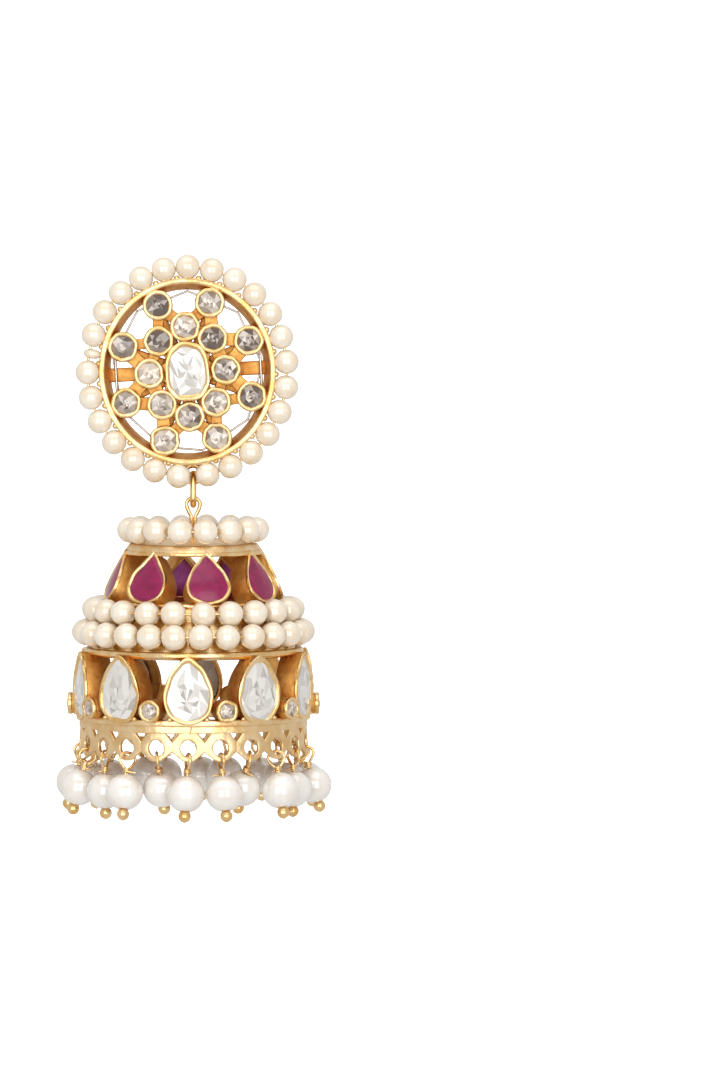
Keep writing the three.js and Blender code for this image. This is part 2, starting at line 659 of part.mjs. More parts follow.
// Directions in which the pearls hang: straight lines, a few swung inside, pushed apart until none touches
function dropDirections() {
  const degreesOf = (i) => BAND_FIRST_DEG + (360 * i) / BAND_CELLS;
  const pivots = repeated(BAND_CELLS, (i) => around(degreesOf(i), pivotRadius, pivotHeight));
  const seeds = repeated(BAND_CELLS, (i) => {
    const inside = (i * INNER_DROPS + 10) % BAND_CELLS < INNER_DROPS;
    const lean = radians(inside ? -INNER_LEAN_DEG : OUTER_LEAN_DEG);
    return around(degreesOf(i), Math.sin(lean), -Math.cos(lean));
  });
  const pearls = pivots.map((pivot, i) => pivot.clone().addScaledVector(seeds[i], dropReach));
  const wanted = DROP_PEARL_DIAMETER + DROP_GAP;
  const rounds = 600;
  for (let round = 0; round < rounds; round += 1) {
    pearls.forEach((pearl, i) => {
      const rest = pivots[i].clone().addScaledVector(seeds[i], dropReach);
      if (round < rounds / 2) pearl.lerp(rest, 0.02);
      for (let step = 1; step <= 3; step += 1) {
        const other = pearls[(i + step) % BAND_CELLS];
        const apart = other.clone().sub(pearl);
        const short = wanted - apart.length();
        if (short > 0) {
          apart.setLength(short / 2);
          other.add(apart);
          pearl.sub(apart);
        }
      }
    });
    pearls.forEach((pearl, i) => pearl.sub(pivots[i]).setLength(dropReach).add(pivots[i]));
  }
  return pivots.map((pivot, i) => ({ pivot, degrees: degreesOf(i), hang: pearls[i].clone().sub(pivot).normalize() }));
}

// A pearl on its ball pin with the wire loop above it, hanging along -Z from the loop's top wire
function hangingDrop() {
  const pearl = DROP_PEARL_DIAMETER / 2;
  const ball = DROP_BALL_DIAMETER / 2;
  const bottom = -dropReach - pearl;
  const pin = turned([
    [0, pearl - dropReach], [pearl * SHOULDER, pearl * SHOULDER_REACH - dropReach],
    [pearl * SHOULDER, -pearl * SHOULDER_REACH - dropReach], [ball * 0.6, bottom + 0.06],
    [ball, bottom - ball * 0.8], [0, bottom - ball * 1.75],
  ], BEAD_SIDES);
  const wide = DROP_LOOP_HALF_WIDTH;
  const foot = pearl * 0.06 + DROP_WIRE / 4;
  const half = [[0, 0], [wide * 0.75, -0.3], [wide, -1.15], [foot * 1.6, -DROP_LOOP_HEIGHT], [foot, -DROP_LOOP_HEIGHT - 0.7]];
  const side = (sign, rows) => rows.map(([y, z]) => new THREE.Vector3(0, sign * y, z));
  const loop = wireAlong([...side(-1, half.slice(1)).reverse(), ...side(1, half)], DROP_WIRE, 8, THIN_WIRE_SIDES);
  return fused([pin, loop]);
}

const dropGeometry = hangingDrop();
const straightDown = new THREE.Vector3(0, 0, -1);
dropDirections().forEach(({ pivot, degrees, hang }, i) => {
  const drop = addPiece(hanging, `drop_${i + 1}`, dropGeometry.clone(), WHITE_PEARL);
  const twist = TWIST_DEG * Math.sin(2.4 * i + 0.6);
  const lean = new THREE.Quaternion().setFromUnitVectors(straightDown, hang);
  const spin = new THREE.Quaternion().setFromAxisAngle(straightDown, -radians(degrees + twist));
  drop.quaternion.copy(lean.multiply(spin));
  drop.position.copy(pivot);
});

export default pieces;
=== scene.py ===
"""Jhumka earring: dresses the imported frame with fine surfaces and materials, and lights it on a pale ground.

Lengths are in millimetres up to the moment a mesh is made. The bell's own heights are measured from the
eye that it hangs by, and its angles from the front of the earring toward +X.
"""

import json
import math

import bpy
import numpy as np
from bpy.props import FloatProperty, FloatVectorProperty, PointerProperty
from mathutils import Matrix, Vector


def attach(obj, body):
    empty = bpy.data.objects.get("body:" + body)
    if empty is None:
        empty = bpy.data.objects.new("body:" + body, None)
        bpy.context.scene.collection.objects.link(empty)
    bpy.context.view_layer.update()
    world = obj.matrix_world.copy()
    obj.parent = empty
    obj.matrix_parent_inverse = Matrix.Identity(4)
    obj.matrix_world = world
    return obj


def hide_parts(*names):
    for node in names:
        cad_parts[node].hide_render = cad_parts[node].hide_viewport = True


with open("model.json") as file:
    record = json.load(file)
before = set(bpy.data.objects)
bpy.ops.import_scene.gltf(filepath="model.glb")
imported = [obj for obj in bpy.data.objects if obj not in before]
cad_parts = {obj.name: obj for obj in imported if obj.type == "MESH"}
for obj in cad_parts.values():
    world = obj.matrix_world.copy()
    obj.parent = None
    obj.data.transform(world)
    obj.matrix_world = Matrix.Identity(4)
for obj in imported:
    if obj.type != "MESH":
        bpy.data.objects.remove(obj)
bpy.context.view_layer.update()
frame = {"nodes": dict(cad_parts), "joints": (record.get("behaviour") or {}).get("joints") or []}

bl_info = {
    "name": "Jhumka Earring",
    "version": (1, 0, 0),
    "blender": (4, 5, 0),
    "location": "3D View > Sidebar > Jhumka",
    "description": "Makes the surfaces and finishes of a bell drop earring",
    "category": "Object",
}

MM = 0.001
TURN = 2 * np.pi

# Finishes by name
BURNISHED, SATIN, MATTE, SILVER = "gold burnished", "gold satin", "gold matte", "silver drawn"
CREAM, WHITE = "pearl cream", "pearl white"
RUBY, RUBY_BACK = "ruby polished", "ruby from behind"
POLKI, ROSE_CUT = "polki on foil", "rose cut on foil"
PAPER = "paper white"

# First seed of each kind of piece, so that every run gives the same shapes
COLLET_SEED, STUD_PEARL_SEED, RUBY_SEED, POLKI_SEED, SMALL_SEED = 40, 100, 200, 300, 400
ROW_SEED, ROW_PEARL_SEED, CELL_SEED, DROP_SEED = 500, 600, 700, 900

# Stud
STUD_TURN_DEG = 3
STUD_HALF_WIDTH, STUD_HALF_HEIGHT = 11.72, 12.42
STUD_WALL = 0.6
STUD_FRONT, STUD_BACK = -3.1, -0.2
COLLET_DIAMETER, COLLET_STONE = 4.095, 2.9
INNER_RING, OUTER_RING = (5.15, 6.05), (9.15, 9.85)
# How dark each round stone is, inner ring then outer, from the +X side round by the top
STONE_TONES = {0: 0.35, 1: 0.6, 2: 0.15, 3: 0.55, 4: 0.0, 5: 0.3, 6: 0.4, 7: 0.15,
               10: 0.5, 11: 0.15, 12: 0.65, 13: 0.5, 14: 0.35, 15: 0.2, 16: 0.1, 17: 0.45}
CENTRE_HALF = (2.9, 3.9)
CENTRE_FRONT = -3.6
COLLETS_PER_RING = 8
STRAP_THICKNESS, STRAP_WIDTH = 0.7, 1.9
STRUTS, STRUT_START, STRUT_WIDTH = 8, 2.9, 1.2
WEB_WIDTH, WEB_TOP, WEB_BOTTOM = 1.9, -2.6, -1.0
POST_RADIUS = 0.45
LACING_WIRE, LACING_INSET, LACING_Y = 0.32, 1.6, -0.45
STITCH_WIRE, STITCH_PLACES, STITCH_HALF, STITCH_Y = 0.4, (-9.6, 9.9), 4.5, -0.95
STUD_PEARL_RING = (13.4, 14.1)
STUD_PEARL_Y = -2.275
STUD_PEARLS = 25
CHIP_AFTER, CHIP_WIDTH = 18, 1.45
CHIP_DIAMETER, CHIP_STRETCH, CHIP_INWARD = 2.5, 0.55, 0.45
STUD_GAP = 0.7
LOOP_RADIUS = 1.15
LOOP_CENTRE = (0.0, -0.1, -13.77)

# Link and the eye that the bell hangs by, at the frame's two hinges
HINGES = {joint["name"]: np.array(joint["pos_m"]) / MM for joint in frame["joints"]}
LOOP_WIRE, EYE = HINGES["link_swing"], HINGES["bell_swing"]
LINK_WIRE, EYE_WIRE = 0.9, 0.55
LINK_ARC, LINK_STRAIGHT = 1.1, 2.0

# Bell: radii and heights
CAP_TOP, CAP_EDGE, CAP_RADIUS = -4.4, -5.15, 8.6
CAP_RIM_RADIUS, CAP_RIM_TOP, CAP_RIM_BOTTOM = 9.4, -6.05, -6.65
RUBIES, RUBY_FIRST, RUBY_TILT = 8, 10.4, 22.9
RUBY_SIZE, RUBY_DEPTH, RUBY_RISE = (6.0, 7.5), 3.0, 0.4
RUBY_RADIUS, RUBY_HEIGHT = 10.55, -9.4
CONE_TOP, CONE_TILT, CONE_LENGTH, CONE_WALL = (11.05, -13.102), 24.3, 7.6, 0.5
RIM_RADIUS, RIM_TOP = 14.8, -19.079
RIM_BOTTOM = RIM_TOP - 0.95
POLKIS, POLKI_FIRST = 10, -2.6
POLKI_SIZE, POLKI_DEPTH, POLKI_RISE = (6.65, 9.1), 3.0, 0.3
POLKI_RADIUS, POLKI_HEIGHT = 15.8, -24.13
BOX_WALL = 0.38
LEDGE_INNER, LEDGE_OUTER, LEDGE_TOP = 13.0, 15.8, -28.079
LEDGE_BOTTOM = LEDGE_TOP - 0.85
SMALL_COLLET, SMALL_STONE, SMALL_DEPTH = 3.0, 1.95, 2.9
SMALL_RADIUS, SMALL_HEIGHT = 16.9, LEDGE_TOP + 1.25
BAND_TOP_RADIUS, BAND_FLARE, BAND_WALL = 15.25, 0.35, 0.6
BAND_TOP, BAND_BOTTOM = LEDGE_BOTTOM, LEDGE_BOTTOM - 4.7
CELLS, CELL_FIRST = 22, -2.7
HOLE_RADIUS, HOLE_HEIGHT = 1.075, BAND_BOTTOM + 1.8
PIVOT_RADIUS, PIVOT_HEIGHT = 15.065, HOLE_HEIGHT - 0.73
DROP_REACH = 5.35
TWIST_DEG = 30
COIL_RADIUS, COIL_TOP, COIL_PITCH, COIL_WIRE = 0.42, -2.12, 0.21, 0.25

# Pearls are a little fuller than their solids, so that neighbours all but touch
STUD_PEARL_SWELL, ROW_PEARL_SWELL = 1.07, 1.095
STUD_THREAD, ROW_THREAD = 0.4, 0.36
EDGE_BEAD, LEDGE_GRAIN = 0.85, 0.72
# Pearl strings round the bell: piece, node, pearls, radius, height, angle of the first pearl
PEARL_ROWS = (
    ("cap_pearls", "top_pearls", 16, 8.74, -3.345, 10.4),
    ("upper_row_pearls", "upper_pearls", 22, 13.375, -14.1, 4.9),
    ("lower_row_pearls", "lower_pearls", 26, 14.75, -17.1, 4.0),
)

# Stage: the scale sets the lens, and the floor lies a little below the hanging pearls
MM_PER_PIXEL, PIXELS_HIGH, FILM = 0.135, 1080, 36.0
CAMERA_SPOT, CAMERA_TARGET = np.array([0.0, -800.0, 12.0]), np.array([23.3, 0.0, -22.8])
LIGHT_TARGET = np.array([0.0, 0.0, -22.0])
SURROUND = 0.72
FLOOR, FLOOR_REACH, FLOOR_BEND, WALL_TOP = -63.0, 1250.0, 400.0, 2200.0
# Soft boxes: place, width and height, power in watts
SOFT_BOXES = {
    "left box": ((-300, -950, 60), (480, 800), 2.9),
    "right box": ((305, -950, 50), (480, 800), 2.6),
    "top box": ((0, -250, 700), (900, 700), 2.0),
}


def linear(hex_colour):
    """A colour as three linear numbers: each sRGB part taken through the sRGB curve."""
    parts = np.array([int(hex_colour[i:i + 2], 16) for i in (1, 3, 5)]) / 255
    straight = np.where(parts <= 0.04045, parts / 12.92, ((parts + 0.055) / 1.055) ** 2.4)
    return tuple(float(part) for part in straight)


# Surfaces


class Shell:
    """One closed surface: its points, its four-sided and three-sided faces, its finish, how it shades, and
    each face's tone with its painted reflection.
    """

    def __init__(self, grid, finish=BURNISHED, smooth=True, wrap=(True, False), tints=None):
        rows, columns = grid.shape[:2]
        index = np.arange(rows * columns).reshape(rows, columns)
        if wrap[0]:
            index = np.concatenate([index, index[:, :1]], axis=1)
        if wrap[1]:
            index = np.concatenate([index, index[:1]], axis=0)
        quads = np.stack([index[:-1, :-1], index[:-1, 1:], index[1:, 1:], index[1:, :-1]], axis=-1)
        points = grid.reshape(-1, 3)
        _, first, same = np.unique(np.round(points * 2e4).astype(np.int64), axis=0, return_index=True,
                                   return_inverse=True)
        self.points = points[first]
        self.finish = finish
        self.smooth = smooth
        self._split(same.reshape(-1)[quads.reshape(-1, 4)], tints)
        if self._volume() < 0:
            self.quads = self.quads[:, ::-1]
            self.triangles = self.triangles[:, ::-1]

    def _split(self, quads, tints):
        """Faces whose two corners met become triangles, and those that closed up altogether go."""
        tints = np.zeros(len(quads)) if tints is None else np.asarray(tints, float).reshape(-1)
        met = quads == np.roll(quads, -1, axis=1)
        whole = met.sum(axis=1) == 0
        three = met.sum(axis=1) == 1
        self.quads, self.quad_tints = quads[whole], tints[whole]
        kept = ~met[three]
        self.triangles = quads[three][kept].reshape(-1, 3)
        self.triangle_tints = tints[three]

    def _volume(self):
        """Six times the space inside: the sum over triangles of each one's triple product from the middle."""
        parts = [self.triangles, self.quads[:, :3], self.quads[:, [0, 2, 3]]]
        corners = (self.points - self.points.mean(axis=0))[np.concatenate(parts)]
        return np.einsum("ij,ij->i", corners[:, 0], np.cross(corners[:, 1], corners[:, 2])).sum()

    def moved(self, place):
        """The same surface with its points carried by a function."""
        self.points = place(self.points)
        return self


def new_object(name, shells, places=()):
    """Puts shells into one mesh object, its points carried by each place in turn."""
    starts = np.cumsum([0] + [len(shell.points) for shell in shells[:-1]])
    points = np.concatenate([shell.points for shell in shells])
    for place in places:
        points = place(points)
    finishes = list(dict.fromkeys(shell.finish for shell in shells))
    corners, sizes, marks, smooth, tints = [], [], [], [], []
    for start, shell in zip(starts, shells):
        for faces, face_tints in ((shell.quads, shell.quad_tints), (shell.triangles, shell.triangle_tints)):
            corners.append((faces + start).reshape(-1))
            sizes.append(np.full(len(faces), faces.shape[1]))
            marks.append(np.full(len(faces), finishes.index(shell.finish)))
            smooth.append(np.full(len(faces), shell.smooth))
            tints.append(face_tints)
    corners, sizes = np.concatenate(corners), np.concatenate(sizes)
    mesh = bpy.data.meshes.new(name)
    mesh.vertices.add(len(points))
    mesh.vertices.foreach_set("co", (points * MM).astype(np.float32).reshape(-1))
    mesh.loops.add(len(corners))
    mesh.loops.foreach_set("vertex_index", corners.astype(np.int32))
    mesh.polygons.add(len(sizes))
    mesh.polygons.foreach_set("loop_start", (np.cumsum(sizes) - sizes).astype(np.int32))
    mesh.polygons.foreach_set("material_index", np.concatenate(marks).astype(np.int32))
    mesh.polygons.foreach_set("use_smooth", np.concatenate(smooth).astype(bool))
    mesh.update(calc_edges=True)
    # Each face's tone and painted reflection, read by the stone finishes; zero on shells without facets
    tint = mesh.attributes.new("tint", "FLOAT", "FACE")
    tint.data.foreach_set("value", np.concatenate(tints).astype(np.float32))
    mesh.validate()
    for finish in finishes:
        mesh.materials.append(bpy.data.materials[finish])
    thing = bpy.data.objects.new(name, mesh)
    bpy.context.scene.collection.objects.link(thing)
    return thing


def make_piece(name, body, nodes, slot, shells, *places):
    """A mesh object that rides on a body and stands for the frame's nodes. Its slot argument is not used."""
    piece = new_object(name, shells, places)
    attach(piece, body)
    if nodes:
        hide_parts(*nodes)


def unit(vectors):
    """Vectors scaled to length one."""
    vectors = np.asarray(vectors, float)
    return vectors / np.linalg.norm(vectors, axis=-1, keepdims=True)


def circle(count, first=0.0):
    """Angles evenly round a full turn."""
    return first + TURN * np.arange(count) / count


def around(degrees, radius, height):
    """A point round the bell: radius times the sine and minus the cosine of its angle, at its height."""
    angle = np.radians(degrees)
    return np.stack(np.broadcast_arrays(radius * np.sin(angle), -radius * np.cos(angle), height), axis=-1)


def stationed(degrees, radius, height, tilt=0.0):
    """Carries points from the plane y = 0 out to a radius and height, tilted back and turned round Z."""
    lean, turn = math.radians(tilt), math.radians(degrees)

    def place(points):
        x, y, z = points[..., 0], points[..., 1], points[..., 2]
        back = y * math.cos(lean) + z * math.sin(lean) - radius
        up = z * math.cos(lean) - y * math.sin(lean) + height
        return np.stack([x * math.cos(turn) - back * math.sin(turn),
                         x * math.sin(turn) + back * math.cos(turn), up], axis=-1)
    return place


def on_bell(points):
    """Points measured from the eye, in the earring's own frame."""
    return points + EYE


def on_stud(points):
    """Points of the upright stud, turned as it hangs."""
    angle = math.radians(-STUD_TURN_DEG)
    x, y, z = points[..., 0], points[..., 1], points[..., 2]
    return np.stack([x * math.cos(angle) + z * math.sin(angle), y,
                     z * math.cos(angle) - x * math.sin(angle)], axis=-1)


def waves(seed, angles, size, order=(2, 7)):
    """A soft unevenness round a turn: a sum of cosines of whole orders with seeded phases and heights."""
    random = np.random.default_rng(seed)
    orders = np.arange(*order)
    heights = random.normal(0, 1, len(orders)) / np.sqrt(orders)
    phases = random.uniform(0, TURN, len(orders))
    return size * (heights * np.cos(np.multiply.outer(angles, orders) + phases)).sum(axis=-1)


def turned(profile, sides, unevenness=0.0, seed=0, **how):
    """A profile of radius and height turned about Z: radius times sine and cosine, with a soft unevenness."""
    profile = np.asarray(profile, float)
    angles = circle(sides)
    swell = 1 + waves(seed, angles, unevenness)[None, :]
    radius = profile[:, :1] * swell
    grid = np.stack([radius * np.sin(angles), -radius * np.cos(angles),
                     np.broadcast_to(profile[:, 1:2], radius.shape)], axis=-1)
    return Shell(grid, **how)


def rounded(corners, bend, steps=4):
    """A closed outline of corners, each cut by a curve: the corner's two near points joined by a parabola."""
    corners = np.asarray(corners, float)
    before = np.roll(corners, 1, axis=0) - corners
    after = np.roll(corners, -1, axis=0) - corners
    reach = np.minimum(bend, 0.45 * np.minimum(np.linalg.norm(before, axis=1), np.linalg.norm(after, axis=1)))
    start = corners + unit(before) * reach[:, None]
    end = corners + unit(after) * reach[:, None]
    t = np.linspace(0, 1, steps)[None, :, None]
    curve = (1 - t) ** 2 * start[:, None] + 2 * t * (1 - t) * corners[:, None] + t ** 2 * end[:, None]
    return curve.reshape(-1, 2)


def closed_ring(profile, sides, **how):
    """A closed profile of radius and height carried round Z."""
    profile = np.concatenate([profile, profile[:1]])
    return turned(profile, sides, **how)


def rolled_ring(corners, bend, sides, steps=4, **how):
    """A ring about Z with a section of rounded corners."""
    return closed_ring(rounded(corners, bend, steps), sides, **how)


def slab(inner, outer, top, bottom):
    """The four corners of a flat section, by its two radii and two heights."""
    return [[inner, top], [outer, top], [outer, bottom], [inner, bottom]]


def wire(path, thickness, normal, sides=10, closed=False, finish=BURNISHED):
    """A round wire: a circle carried along a path, with its ends drawn in to half balls when it is open."""
    path = np.asarray(path, float)
    normal = np.broadcast_to(np.asarray(normal, float), path.shape)
    radius = np.full(len(path), thickness / 2)
    if closed:
        along = unit(np.roll(path, -1, axis=0) - np.roll(path, 1, axis=0))
    else:
        along = unit(np.gradient(path, axis=0))
        caps = np.radians([90, 60, 30])
        ahead, small = np.sin(caps) * thickness / 2, np.cos(caps) * thickness / 2
        path = np.concatenate([path[0] - along[0] * ahead[:, None], path,
                               path[-1] + along[-1] * ahead[::-1, None]])
        radius = np.concatenate([small, radius, small[::-1]])
        along = np.concatenate([np.repeat(along[:1], 3, axis=0), along, np.repeat(along[-1:], 3, axis=0)])
        normal = np.concatenate([np.repeat(normal[:1], 3, axis=0), normal, np.repeat(normal[-1:], 3, axis=0)])
    side = unit(np.cross(along, normal))
    up = np.cross(side, along)
    angles = circle(sides)
    grid = path[:, None] + radius[:, None, None] * (
        np.cos(angles)[:, None] * side[:, None] + np.sin(angles)[:, None] * up[:, None])
    return Shell(grid, finish=finish, wrap=(True, closed))


def smooth_path(points, count):
    """A curve through points: each stretch is the cubic that keeps the slope of its neighbours."""
    points = np.asarray(points, float)
    ends = np.concatenate([2 * points[:1] - points[1:2], points, 2 * points[-1:] - points[-2:-1]])
    t = np.linspace(0, len(points) - 1, count)
    whole = np.minimum(t.astype(int), len(points) - 2)
    part = (t - whole)[:, None]
    a, b, c, d = (ends[whole + i] for i in range(4))
    return 0.5 * (2 * b + (c - a) * part + (2 * a - 5 * b + 4 * c - d) * part ** 2
                  + (3 * b - a - 3 * c + d) * part ** 3)


def hairpin(half, side, count):
    """A smooth path through the (out, z) points of one half and of its mirror image, out along a side."""
    half = np.array(half, float)
    both = np.concatenate([half[:0:-1] * [-1, 1], half])
    return smooth_path(both[:, :1] * side + both[:, 1:] * [0, 0, 1], count)


def pearl(centre, axis, diameter, seed, finish=CREAM, rows=15, columns=22, stretch=1.0):
    """A pearl: a ball about its drill hole, a little out of round, sunk where the thread goes in."""
    axis = unit(axis)
    side = unit(np.cross(axis, [0.31, 0.87, 0.39]))
    other = np.cross(axis, side)
    down = np.linspace(0, np.pi, rows)[:, None]
    turn = circle(columns)[None, :]
    radius = diameter / 2 * (1 + waves(seed, turn, 0.007) * np.sin(down) + 0.006 * np.cos(2 * down + seed))
    radius = radius * (1 - 0.16 * np.exp(-(np.minimum(down, np.pi - down) / 0.17) ** 2))
    grid = centre + radius[..., None] * (
        np.cos(down)[..., None] * axis * stretch
        + (np.sin(down) * np.cos(turn))[..., None] * side + (np.sin(down) * np.sin(turn))[..., None] * other)
    return Shell(grid, finish=finish)


def bead(centre, diameter, flat=1.0):
    """A small gold grain: a ball, pressed flat along Z by a share."""
    down = np.linspace(0, np.pi, 7)[:, None]
    turn = circle(10)[None, :]
    grid = np.asarray(centre, float) + diameter / 2 * np.stack(
        [np.sin(down) * np.cos(turn), np.sin(down) * np.sin(turn), flat * np.cos(down) + 0 * turn], axis=-1)
    return Shell(grid)


def teardrop(size, sharp=1.0, count=56):
    """A drop outline, point up: z = cos t and x = sin t times a power of sin(t / 2), for a turn t."""
    width, length = size
    radius = width / 2
    turn = circle(count)
    x = -np.sin(turn) * np.sin(turn / 2) ** sharp
    low = radius - length / 2
    points = np.stack([radius * x / np.abs(x).max(), length / 2 * np.cos(turn) - low], axis=1)
    return points, np.array([0.0, low]), radius


def squared(half, count=48, power=2.8):
    """A rounded rectangle as (x, z): half sizes times the cosine and sine, each drawn toward its corner."""
    angles = circle(count, np.pi / 2)
    wave = np.stack([np.cos(angles), np.sin(angles)], axis=1)
    return np.asarray(half) * np.sign(wave) * np.abs(wave) ** (2 / power), np.zeros(2), min(half)


def drawn_in(outline, inset):
    """The outline's points drawn toward its middle by an inset, and by up to a third more at its tip."""
    points, _, radius = outline
    reach = np.linalg.norm(points, axis=1)
    return points * (1 - inset * np.minimum(reach / radius, 1.35) / reach)[..., None]


def walled(outline, profile, seed=0, uneven=0.0, **how):
    """A wall round an outline: a closed profile of (inset, y), each inset drawing the outline in."""
    points, middle, _ = outline
    profile = np.asarray(profile, float)
    swell = waves(seed, circle(len(points)), uneven, (3, 11))
    inset = profile[:, :1] + swell * (profile[:, :1] > 0)
    flat = middle + drawn_in(outline, inset)
    grid = np.stack([flat[..., 0], np.broadcast_to(profile[:, 1:], inset.shape), flat[..., 1]], axis=-1)
    return Shell(np.concatenate([grid, grid[:1]]), **how)


def domed(outline, inset, rise, seed, back=0.8, rows=9, **how):
    """A polished cabochon: the outline scaled by s rises by (1 - s squared) ** 0.8, with a slow swell."""
    middle = outline[1]
    share = np.cos(np.linspace(0, np.pi / 2, rows))
    share[-1] = 0
    share = np.concatenate([[0.0, 0.9], share])
    lift = rise * (1 - share ** 2) ** 0.8
    lift[:2] = -back
    flat = middle + drawn_in(outline, inset) * share[:, None, None]
    swell = 0.07 * rise * np.sin(1.1 * flat[..., 0] + seed) * np.cos(0.9 * flat[..., 1] + 2 * seed)
    y = -(lift[:, None] + np.where(lift[:, None] > 0, swell, 0) * (share[:, None] < 0.98))
    y[-1] = y[-1].mean()
    return Shell(np.stack([flat[..., 0], y, flat[..., 1]], axis=-1), **how)


def faceted(outline, inset, rise, seed, back=0.8, rings=(1.0, 0.74, 0.38), sides=9, uneven=0.16, tone=0.0,
            **how):
    """A cut stone: rings of points drawn toward the middle, moved a little at random, with flat facets. Each
    facet holds the stone's own tone plus a painted reflection: alternate facets lighter, with a random spread.
    """
    random = np.random.default_rng(seed)
    points, middle, radius = outline
    steps = (np.arange(sides) * len(points) // sides + random.integers(0, 3)) % len(points)
    base = drawn_in(outline, inset)[steps]
    levels = [base * 0, base * 0.92]
    heights = [np.full(sides, -back), np.full(sides, -back)]
    for number, share in enumerate(rings):
        jitter = uneven * (number > 0)
        turned_base = base if number % 2 == 0 else (base + np.roll(base, 1, axis=0)) / 2
        levels.append(turned_base * (share * (1 + random.uniform(-jitter, jitter, sides)))[:, None])
        heights.append(rise * (1 - share ** 1.7) * (1 + random.uniform(-jitter, jitter, sides) * 2.2))
    levels.append(base * 0 + random.uniform(-0.1, 0.1, 2) * radius)
    heights.append(np.full(sides, rise))
    flat = middle + np.array(levels)
    grid = np.stack([flat[..., 0], -np.array(heights), flat[..., 1]], axis=-1)
    # Painted reflections: alternate facets lighter and a random spread, on top of the stone's own tone
    turns = (np.arange(len(levels) - 1)[:, None] + np.arange(sides)) % 2
    tints = np.clip(tone + 0.22 * turns + random.uniform(-0.12, 0.42, (len(levels) - 1, sides)), 0, 1)
    return Shell(grid, smooth=False, tints=tints, **how)


def set_stone(outline, depth, rise, seed, lip, stone, finish):
    """A box setting: matte walls, a burnished lip rubbed over the stone's edge, and the stone."""
    sides = [[0, -0.1], [0.04, depth], [BOX_WALL + 0.02, depth], [BOX_WALL, -0.1]]
    edge = [[-0.04, 0.25], [-0.02, -0.2], [lip * 0.6, -0.26], [lip + BOX_WALL * 0.5, -0.02],
            [BOX_WALL * 0.9, 0.3]]
    return [walled(outline, rounded(sides, 0.08, 3), finish=MATTE),
            walled(outline, rounded(edge, 0.12), seed=seed, uneven=0.22 * lip),
            stone(outline, BOX_WALL * 0.72, rise, seed, finish=finish)]


def uncut(outline, inset, rise, seed, finish):
    """An uncut diamond slice: many uneven facets, as the crystal split."""
    return faceted(outline, inset, rise + 0.1, seed, rings=(1.0, 0.82, 0.6, 0.34), sides=11, uneven=0.22,
                   finish=finish)


def tabled(outline, inset, rise, seed, finish):
    """The centre stone's cut: a broad uneven table with a ring of slanting facets."""
    return faceted(outline, inset, rise + 0.15, seed, rings=(1.0, 0.84, 0.6, 0.3), sides=11, uneven=0.2,
                   finish=finish)


def round_setting(diameter, stone, depth, seed, tone=0.2):
    """A round collet and its rose-cut stone: a tube, a burnished lip and a low dome of facets."""
    width = (diameter - stone) / 2
    outline = squared((diameter / 2, diameter / 2), 28, 2)
    sides = [[0.06, 0], [0.0, depth], [diameter / 2, depth], [diameter / 2, depth - 0.3], [width + 0.3, 0.2]]
    edge = [[0.0, 0.5], [-0.01, -0.02], [width * 0.5, -0.16], [width * 1.02, 0.0], [width, 0.5]]
    return [walled(outline, rounded(sides, 0.1, 3), finish=MATTE),
            walled(outline, rounded(edge, 0.14), seed=seed, uneven=0.05),
            faceted(outline, width * 0.86, diameter * 0.085, seed, rings=(1.0, 0.62, 0.3), sides=8,
                    uneven=0.1, tone=tone, finish=ROSE_CUT)]


# Finishes


def set_inputs(tree, node, inputs):
    """Puts values and links on a node's own inputs."""
    for name, value in inputs.items():
        if isinstance(value, bpy.types.NodeSocket):
            tree.links.new(value, node.inputs[name])
        else:
            node.inputs[name].default_value = value


def add_node(tree, kind, inputs=None, **settings):
    """A node with its settings, its input values and its links."""
    node = tree.nodes.new(kind)
    for name, value in settings.items():
        setattr(node, name, value)
    set_inputs(tree, node, inputs or {})
    return node


def new_material(name):
    """An empty material with its tree, its surface shader and the piece's own coordinates."""
    material = bpy.data.materials.new(name)
    material.use_nodes = True
    tree = material.node_tree
    tree.nodes.clear()
    shader = add_node(tree, "ShaderNodeBsdfPrincipled")
    add_node(tree, "ShaderNodeOutputMaterial", {"Surface": shader.outputs["BSDF"]})
    place = add_node(tree, "ShaderNodeTexCoord").outputs["Object"]
    return tree, shader, place


def noise(tree, place, size_mm, detail=3.0, rough=0.55):
    """Noise whose features are about so many millimetres wide."""
    return add_node(tree, "ShaderNodeTexNoise", {
        "Vector": place, "Scale": 1 / (size_mm * MM), "Detail": detail, "Roughness": rough}).outputs["Fac"]


def bump(tree, height, distance_mm, **more):
    """A surface raised by a height of 0 to 1, so many millimetres at the most."""
    inputs = {"Height": height, "Strength": 1.0, "Distance": distance_mm * MM, **more}
    return add_node(tree, "ShaderNodeBump", inputs).outputs["Normal"]


def ramp(tree, factor, stops):
    """A colour ramp of (position, linear colour) stops."""
    node = add_node(tree, "ShaderNodeValToRGB", {"Fac": factor})
    elements = node.color_ramp.elements
    while len(elements) < len(stops):
        elements.new(0.5)
    for element, (position, colour) in zip(elements, stops):
        element.position = position
        element.color = (*colour, 1.0)
    return node.outputs["Color"]


def grey(value):
    """A grey as three equal numbers."""
    return (value, value, value)


def shade(colour, share):
    """A linear colour made darker or lighter by a share."""
    return tuple(min(part * share, 1.0) for part in colour)


